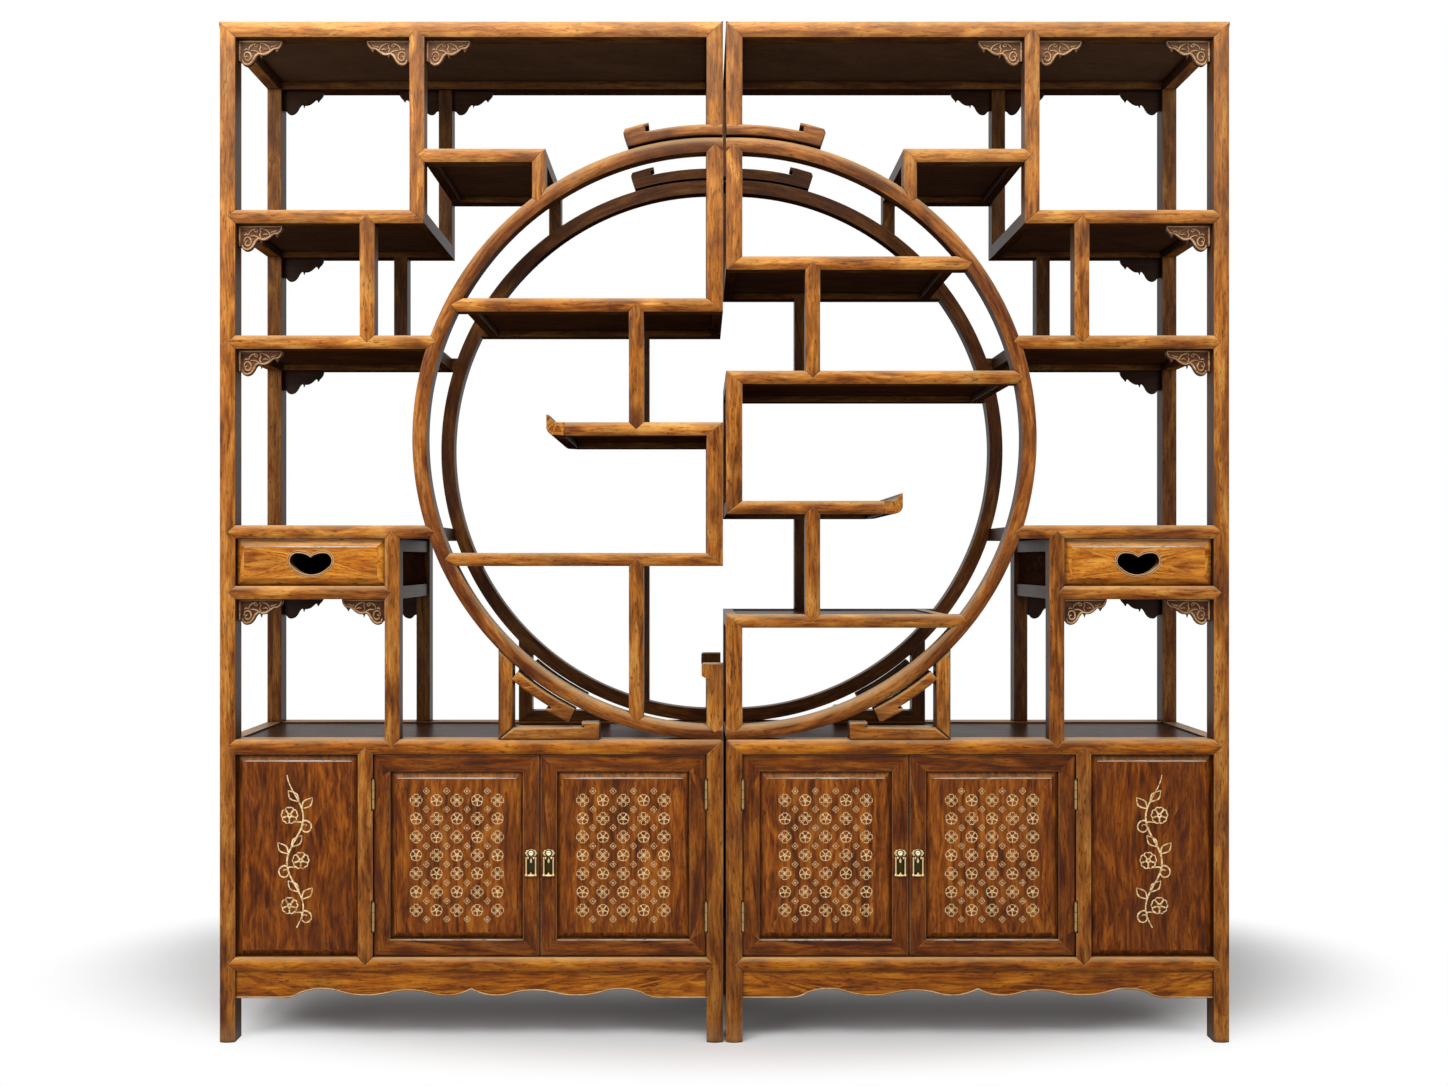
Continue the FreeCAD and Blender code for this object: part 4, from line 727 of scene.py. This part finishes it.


# Drawer fronts: the finger hole has a raised double rim, coloured pale as a painted highlight of
# its edge. Each arc of the hole is a middle and an end, as shares of half its width and of its
# height.
hole_middle_u, hole_low = 0.1805, 0.9405 - 0.02436
hole_size = (0.082, 0.042)
hole_arcs = [[(-0.24, 0.94), (0, 0.8)], [(0.24, 0.94), (0.56, 1)], [(1, 0.63), (0.81, 0.33)],
             [(0, 0), (-0.81, 0.33)], [(-1, 0.63), (-0.56, 1)]]
drawer_face = 0.009
hole_rims = ((0.0045, 0.0018, 0.0011), (0.0012, 0.0022, 0.0014))
drawer_wood = hardwood("drawer front, grain across", "x",
                       ("#944b10", "#c4711c", "#e6912d", "#f8ae46"), low_edges=0.6, patina=0.4)
finish(drawer_wood, "drawer_front")


def outset(line, by):
    """A closed line moved outwards."""
    count = len(line)
    area = sum(a[0] * b[1] - b[0] * a[1] for a, b in zip(line, line[1:] + line[:1]))
    turn = -1 if area > 0 else 1
    moved = []
    for i in range(count):
        heading = (Vector(line[(i + 1) % count]) - Vector(line[i - 1])).normalized()
        spot = Vector(line[i]) + Vector((-heading.y, heading.x)) * (turn * by)
        moved.append((spot.x, spot.y))
    return moved


hole_line = []
last = hole_arcs[-1][-1]
for middle, end in hole_arcs:
    spots = [(hole_middle_u + x * hole_size[0] / 2, hole_low + z * hole_size[1])
             for x, z in (last, middle, end)]
    hole_line += arc_through(*spots, 10)
    last = end
for side in sides:
    bm = bmesh.new()
    for by, width, rise in hole_rims:
        stroke(bm, in_cabinet(side), outset(hole_line, by), width, drawer_face + 0.0002, rise,
               closed=True)
    build(side + "_finger_hole_rim", bm, side + "_drawer", "wood_panel", bead_and_highlight_wood)


# Panel beads: the raised fields and the doors' lower rails end in a fine edge, and a thin pale
# strip on it is a painted highlight, so that it stands out as one thin line. Each is written as its
# start, its end, its height and its depth.
door_middle_u = 0.63075
bead_fine, bead_proud = 0.0036, 0.0007
panel_runs = [(0.0475, 0.2610, 0.5500, 0.009)]
drawer_runs = [(0.0500, 0.3110, 0.9705, 0.009), (0.0360, 0.3250, 0.9852, 0.0137)]
door_runs = [(0.3505, 0.5840, 0.5160, 0.011), (0.3375, 0.5970, 0.1988, 0.009)]
highlight_line_wood = hardwood("pale line of a painted highlight", "x", ("#dcb08c", "#f0d2b6", "#f8e4d2", "#fff5ec"),
                     edge_wear_and_highlight=0.0, patina=0.1, inner=0.0, mitres=0.0, lit=0.0)


def in_door(door):
    """How a point written for the outer door is put in place in that door."""
    put = in_cabinet(door.split("_")[0])
    if "outer" in door:
        return put
    return lambda u, y, z: put(2 * door_middle_u - u, y, z)


def highlight_beads(name, body, put, runs):
    """Thin pale beads along level edges as painted highlights, tapered at both ends."""
    bm = bmesh.new()
    for start, end, z, y in runs:
        path = [(start + (end - start) * i / 4, z) for i in range(5)]
        widths = (bead_fine * 0.5, bead_fine, bead_fine, bead_fine, bead_fine * 0.5)
        stroke(bm, put, path, widths, y + 0.0001, bead_proud)
    build(name, bm, body, "wood_panel", highlight_line_wood)


for side in sides:
    highlight_beads(side + "_panel_bead", "cabinets", in_cabinet(side), panel_runs)
    highlight_beads(side + "_drawer_bead", side + "_drawer", in_cabinet(side), drawer_runs)
for door in door_names:
    highlight_beads(door + "_beads", door, in_door(door), door_runs)


# Hinges: cast brass, turned to a barrel with ball ends and let into the frame and the door edge.
# Years of handling left the metal dull, pale where it is touched and olive in the recesses.
hinge_u, hinge_y = 0.30425, 0.0052
hinge_heights = (0.245, 0.485)
hinge_length = 0.055
third, play = hinge_length / 3, 0.00015
barrel_radius, pin_radius = 0.0032, 0.0014
frame_leaf_u, door_leaf_u = (0.3023, 0.3035), (0.3050, 0.3062)
neck_back, leaf_front, leaf_back = 0.0090, 0.0088, 0.028
ball_end = [(0, pin_radius), (0.0004, 0.0021), (0.0012, 0.0024), (0.0021, 0.0018), (0.0026, 0.0)]
tarnish_width = 0.006


def brass(name, colours, rough):
    """Cast and aged brass: bright where it stands proud, olive-brown in its corners."""
    made = empty_material(name)
    tree = made.node_tree
    place = node(tree, "TexCoord").outputs["Object"]
    spots = node(tree, "TexNoise", {"Vector": place, "Scale": 1 / tarnish_width, "Detail": 4.0,
                                    "Roughness": 0.65})
    corner = node(tree, "AmbientOcclusion", {"Distance": 0.004}, samples=4).outputs["AO"]
    clean = node(tree, "Mix", {0: 0.45, 2: corner, 3: spots})
    tone = node(tree, "ValToRGB", {0: clean}, stops=zip((0.38, 0.56, 0.76), colours))
    dull = node(tree, "MapRange", {0: clean, 1: 0.35, 2: 0.8, 3: rough + 0.25, 4: rough})
    relief = node(tree, "Bump", {"Strength": 0.35, "Distance": 0.0004, "Height": spots})
    surface = node(tree, "BsdfPrincipled", {"Base Color": tone, "Metallic": 1.0,
                                            "Roughness": dull, "Normal": relief})
    node(tree, "OutputMaterial", {"Surface": surface})
    return made


def turned(bm, put, centre, way, profile, segments=14, number=0):
    """Turned piece about a line through a place, from pairs of a length along it and a radius."""
    axis = Vector(way)
    across = Vector((0, 1, 0)) if abs(axis.y) < 0.5 else Vector((1, 0, 0))
    other = axis.cross(across)
    loops = []
    for along, radius in profile:
        loop = []
        for i in range(segments):
            turn = 2 * math.pi * i / segments
            spot = (Vector(centre) + axis * along
                    + (across * math.cos(turn) + other * math.sin(turn)) * max(radius, 0.00005))
            loop.append(put(*spot))
        loops.append(loop)
    skin(bm, loops, number=number)


def rod(bm, put, start, length, radius):
    """Upright rod on the axis of a hinge, with eased ends."""
    ease = 0.0006
    turned(bm, put, (hinge_u, hinge_y, start), (0, 0, 1),
           [(0, radius - ease), (ease, radius), (length - ease, radius), (length, radius - ease)])


def oblong(u, z):
    """Corners of an upright oblong between two places across and two heights."""
    return [(u[0], z[0]), (u[1], z[0]), (u[1], z[1]), (u[0], z[1])]


def knuckle(bm, put, leaf_u, start, length):
    """One knuckle of a hinge, with the neck that joins it to its leaf."""
    rod(bm, put, start, length, barrel_radius)
    rounded_plate(bm, put, oblong(leaf_u, (start, start + length)), hinge_y, neck_back, 0.0001)


def leaf_plate(bm, put, leaf_u, low):
    """Leaf of a hinge, let into the edge of the wood."""
    rounded_plate(bm, put, oblong(leaf_u, (low, low + hinge_length)), leaf_front, leaf_back,
                  0.0002)


hinge_brass = brass("dull cast brass of the hinges", ("#1d150b", "#67502a", "#a0875a"), 0.40)
frame_bm = bmesh.new()
for door in door_names:
    put = in_door(door)
    door_bm = bmesh.new()
    for middle_z in hinge_heights:
        low = middle_z - hinge_length / 2
        for start in (low, low + 2 * third + play):
            knuckle(frame_bm, put, frame_leaf_u, start, third - play)
        leaf_plate(frame_bm, put, frame_leaf_u, low)
        for end, up in ((low, -1), (low + hinge_length, 1)):
            turned(frame_bm, put, (hinge_u, hinge_y, end), (0, 0, up), ball_end)
        rod(frame_bm, put, low, hinge_length, pin_radius)
        knuckle(door_bm, put, door_leaf_u, low + third + play, third - 2 * play)
        leaf_plate(door_bm, put, door_leaf_u, low)
    build(door + "_hinge_leaves", door_bm, door, "brass", hinge_brass)
barrels = build("frame_hinge_barrels", frame_bm, "cabinets", "brass", hinge_brass)
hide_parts("frame_hinges")


# Door pulls: a lobed cast plate with a domed boss, two ears that carry the bail, a near-black
# tongue behind it, and a hanging bail with ball corners that swings out in the ears. Fingers
# keep the boss and the bail bright. Turned pieces are pairs of a length and a radius.
pull_u, pull_top = 0.6135, 0.378
plate_face, door_face = 0.0075, 0.009
bail_y, bail_z = 0.0045, 0.3606
bail_half, bail_drop = 0.0092, 0.034
drop_y, tongue_y, leaf_y = (0.0064, 0.0084), 0.0082, (bail_y - 0.0013, bail_y + 0.0012)
plate_edge, drop_edge, tongue_edge, leaf_edge, ear_edge = 0.0008, 0.0009, 0.0004, 0.0010, 0.0002
pin_start, ball_lift = 0.005, 0.0006
plate_half, plate_lobe = (0.0116, 0.0077), 0.06
plate_lobes = []
for i in range(32):
    turn = 2 * math.pi * i / 32
    lobe = 1 + plate_lobe * math.cos(8 * turn)
    plate_lobes.append((pull_u + plate_half[0] * lobe * math.sin(turn),
                        pull_top + plate_half[1] * (lobe * math.cos(turn) - 1.1)))
boss_drop = 0.0083
boss = [(0.0, 0.0054), (0.0010, 0.0052), (0.0019, 0.0046), (0.0022, 0.0037), (0.0018, 0.0026),
        (0.0009, 0.0018), (0.0005, 0.0008), (0.0005, 0.0)]
boss_seat = [(0.0, 0.0072), (0.0003, 0.0070), (0.0003, 0.0050)]
stud = [(0.0, 0.0013), (0.0006, 0.0011), (0.0010, 0.0004), (0.0010, 0.0)]
stud_places = ((-0.0092, -0.0085), (0.0092, -0.0085), (-0.0055, -0.0030), (0.0055, -0.0030))
ear_places = (-0.0056, 0.0056)
ear = [(-0.0015, 0.0019), (-0.0011, 0.0025), (0.0011, 0.0025), (0.0015, 0.0019)]
ear_half, ear_back = (0.0012, 0.0018), plate_face + 0.0004
drop = smooth([(0.0, 0.0), (0.0018, -0.0035), (0.0023, -0.0075), (0.0, -0.0105),
               (-0.0023, -0.0075), (-0.0018, -0.0035)], 3, closed=True)
tongue = smooth([(-0.0060, 0.0030), (-0.0072, -0.012), (-0.0062, -0.026), (0.0, -0.0305),
                 (0.0062, -0.026), (0.0072, -0.012), (0.0060, 0.0030)], 3)
arm = [(-0.0022, 0.0008), (-0.0016, 0.0018), (0.0, 0.0021), (0.002, 0.0017),
       (bail_drop * 0.5, 0.0015), (bail_drop - 0.005, 0.0016), (bail_drop - 0.002, 0.0019)]
corner_ball = [(-0.0030, 0.0), (-0.0026, 0.0015), (-0.0014, 0.0027), (0.0, 0.0031),
               (0.0014, 0.0027), (0.0024, 0.0014), (0.0026, 0.0)]
bail_pin = [(0.0, 0.0012), (bail_half - pin_start, 0.0012)]
bar = [(-bail_half, 0.0016), (-bail_half * 0.6, 0.0017), (-bail_half * 0.3, 0.0024), (0, 0.0021),
       (bail_half * 0.3, 0.0024), (bail_half * 0.6, 0.0017), (bail_half, 0.0016)]
leaf = smooth([(-0.0036, 0.0010), (-0.0018, 0.0036), (0.0, 0.0068), (0.0018, 0.0036),
               (0.0036, 0.0010)], 3)
pull_brass = brass("aged cast brass of the pulls", ("#1d170c", "#80683c", "#dcc597"), 0.34)
touched_brass = brass("brass polished by fingers", ("#6b5a38", "#c9b585", "#ecdcb4"), 0.32)
bail_brass = brass("golden cast brass of the bails", ("#2b2011", "#9c7b45", "#e0c48e"), 0.32)
dark_brass = brass("near-black brass behind the bail", ("#080704", "#17140b", "#3a341c"), 0.55)


def hung(shape, z):
    """Outline of a small plate, moved to its height on the pull."""
    return [(pull_u + across, z + up) for across, up in shape]


for door in door_names:
    put = in_door(door)
    bm = bmesh.new()
    rounded_plate(bm, put, plate_lobes, plate_face, door_face, plate_edge)
    boss_place = (pull_u, plate_face, pull_top - boss_drop)
    turned(bm, put, boss_place, (0, -1, 0), boss, 18, 2)
    turned(bm, put, boss_place, (0, -1, 0), boss_seat, 18, 1)
    for x, z in stud_places:
        turned(bm, put, (pull_u + x, plate_face, pull_top + z), (0, -1, 0), stud, 10)
    for x in ear_places:
        turned(bm, put, (pull_u + x, bail_y, bail_z), (1, 0, 0), ear)
        sides_of_ear = oblong((pull_u + x - ear_half[0], pull_u + x + ear_half[0]),
                              (bail_z - ear_half[1], bail_z + ear_half[1]))
        rounded_plate(bm, put, sides_of_ear, bail_y, ear_back, ear_edge)
    rounded_plate(bm, put, hung(drop, bail_z), *drop_y, drop_edge)
    rounded_plate(bm, put, hung(tongue, bail_z), tongue_y, door_face, tongue_edge, 1)
    plate = build(door + "_pull_plate", bm, door, "brass", pull_brass, dark_brass, touched_brass)
    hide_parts(door + "_fittings")

    bm = bmesh.new()
    low = bail_z - bail_drop
    for x in (-1, 1):
        arm_u = pull_u + x * bail_half
        turned(bm, put, (arm_u, bail_y, bail_z), (0, 0, -1), arm, 12)
        turned(bm, put, (arm_u, bail_y, low + ball_lift), (0, 0, -1), corner_ball, 12)
        turned(bm, put, (pull_u + x * pin_start, bail_y, bail_z), (x, 0, 0), bail_pin, 10)
    turned(bm, put, (pull_u, bail_y, low), (1, 0, 0), bar, 12)
    rounded_plate(bm, put, hung(leaf, low), *leaf_y, leaf_edge)
    bail = build(door + "_hanging_bail", bm, door + "_bail", "brass", bail_brass)
    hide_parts(door + "_bail")


# Gilding: lines cut into the panels and filled with gold, then rubbed level with the wood,
# which left the gold worn in spots. The fixed panels have a climbing vine with blossoms, the
# doors a half-drop field of small flowers and lozenges, all common ornament of such furniture.
line_rise = 0.0003
worn_width = 0.004
vine_u, vine_z = 0.150, (0.218, 0.528)
vine_sway, vine_bends = 0.016, 3.5
blossoms, blossom_petals = 3, 5
blossom_place, blossom_petal, blossom_eye = (0.027, 0.004), (0.0165, 0.0150), 0.0026
twig_foot, twig_bend, twig_end = 0.055, (0.004, 0.009), (0.006, 0.014)
tendril_foot, tendril_angle, tendril_radius, tendril_turns = 0.02, 62, 0.0135, 1.25
vine_leaves, leaf_tip = ((0.055, 1), (0.10, -1)), (0.021, 0.022)
leaf_sides = (((0.004, 0.015), 0.0026), ((0.017, 0.006), 0.0022))
vine_face, field_face = door_face + 0.0001, 0.0111
field_u, field_z = (0.350, 0.5845), (0.213, 0.517)
field_middle = (sum(field_u) / 2, sum(field_z) / 2)
field_half = (0.092, 0.128)
flower_pitch = (0.0400, 0.0360)
ray_reach = (0.0085, 0.0102, 0.0122)
gold = empty_material("rubbed gold in cut lines")
tree = gold.node_tree
place = node(tree, "TexCoord").outputs["Object"]
worn = node(tree, "TexNoise", {"Vector": place, "Scale": 1 / worn_width, "Detail": 3.0})
tone = node(tree, "ValToRGB", {0: worn},
            stops=((0.32, "#93693a"), (0.46, "#d2b078"), (0.62, "#efdbad")))
surface = node(tree, "BsdfPrincipled", {"Base Color": tone, "Roughness": 0.5,
                                        "Specular IOR Level": 0.3})
node(tree, "OutputMaterial", {"Surface": surface})


def cutter(bm, put, face):
    """How a line is cut into the face of a panel and filled."""
    def cut(path, widths, closed=False):
        stroke(bm, put, path, widths, face, line_rise, closed)
    return cut


def heading_to(angle):
    """Direction at an angle from straight up, in degrees."""
    turn = math.radians(angle)
    return Vector((math.sin(turn), math.cos(turn)))


def petal(centre, angle, length, width):
    """Outline of a petal that points away from a centre."""
    out = heading_to(angle)
    beside = Vector((out.y, -out.x))
    shape = ((0.18, 0.0), (0.45, -0.42), (0.80, -0.50), (0.97, -0.22), (0.90, 0.0), (0.97, 0.22),
             (0.80, 0.50), (0.45, 0.42), (0.18, 0.0))
    return smooth([Vector(centre) + out * (length * a) + beside * (width * b) for a, b in shape], 2)


def circle(centre, radius, count):
    """Closed round line, or a lozenge if its count is four."""
    return [(centre[0] + radius * math.cos(2 * math.pi * i / count),
             centre[1] + radius * math.sin(2 * math.pi * i / count)) for i in range(count)]


def curl(start, angle, radius, way, turns):
    """Tendril that winds inwards from a start."""
    points = []
    spot = Vector(start)
    turn = math.radians(angle)
    step = 2 * math.pi / 14
    count = int(14 * turns)
    for i in range(count + 1):
        points.append(tuple(spot))
        size = radius * (1 - 0.72 * i / count)
        turn += way * step
        spot = spot + Vector((math.sin(turn), math.cos(turn))) * (size * step)
    return points


def stem_at(t):
    """Place on the stem of the vine at a share of its height."""
    return (vine_u + vine_sway * math.sin(2 * math.pi * vine_bends * t / 2),
            vine_z[0] + (vine_z[1] - vine_z[0]) * t)


for side in sides:
    bm = bmesh.new()
    draw = cutter(bm, in_cabinet(side), vine_face)
    draw([stem_at(i / 60) for i in range(1, 60)], (0.0024, 0.0036, 0.0036, 0.0022))
    for k in range(blossoms):
        t = (k + 0.5) / vine_bends
        way = 1 if k % 2 == 0 else -1
        spot = stem_at(t)
        centre = (spot[0] - way * blossom_place[0], spot[1] + blossom_place[1])
        for j in range(blossom_petals):
            draw(petal(centre, 360 / blossom_petals * j, *blossom_petal), 0.0024)
        draw(circle(centre, blossom_eye, 8), 0.0022, closed=True)
        draw(smooth([stem_at(t - twig_foot), (spot[0] - way * twig_bend[0], spot[1] - twig_bend[1]),
                     (centre[0] + way * twig_end[0], centre[1] - twig_end[1])], 4),
             (0.0032, 0.0022))
        draw(curl(stem_at(t - tendril_foot), way * tendril_angle, tendril_radius, way,
                  tendril_turns), (0.0034, 0.0028, 0.0016))
        for lift, lean in vine_leaves:
            foot = stem_at(min(t + lift, 0.98))
            tip = (foot[0] + way * lean * leaf_tip[0], foot[1] + leaf_tip[1])
            for bulge, width in leaf_sides:
                middle = (foot[0] + way * lean * bulge[0], foot[1] + bulge[1])
                draw(smooth([foot, middle, tip], 4), (width, 0.0032, 0.0012))
    build(side + "_fixed_panel_gilding", bm, "cabinets", "brass", gold)

for door in door_names:
    bm = bmesh.new()
    draw = cutter(bm, in_door(door), field_face)
    for column in range(-2, 3):
        for row in range(-4, 5):
            for half in (0, 1):
                spot = (field_middle[0] + (column + half / 2) * flower_pitch[0],
                        field_middle[1] + (row + half / 2) * flower_pitch[1])
                if any(abs(spot[i] - field_middle[i]) > field_half[i] for i in (0, 1)):
                    continue
                if half:
                    draw(circle(spot, 0.0062, 4), 0.0013, closed=True)
                    draw(circle(spot, 0.0016, 6), 0.0012, closed=True)
                    continue
                petals, length = (4, 0.0124) if (column + row) % 2 else (5, 0.0116)
                for k in range(petals):
                    draw(petal(spot, 360 / petals * k, length, 0.0092), 0.0013)
                for k in range(petals):
                    out = heading_to(360 / petals * (k + 0.5))
                    draw([Vector(spot) + out * r for r in ray_reach], (0.0008, 0.0018, 0.0008))
                draw(circle(spot, 0.0016, 6), 0.0016, closed=True)
    build(door + "_panel_gilding", bm, door, "brass", gold)
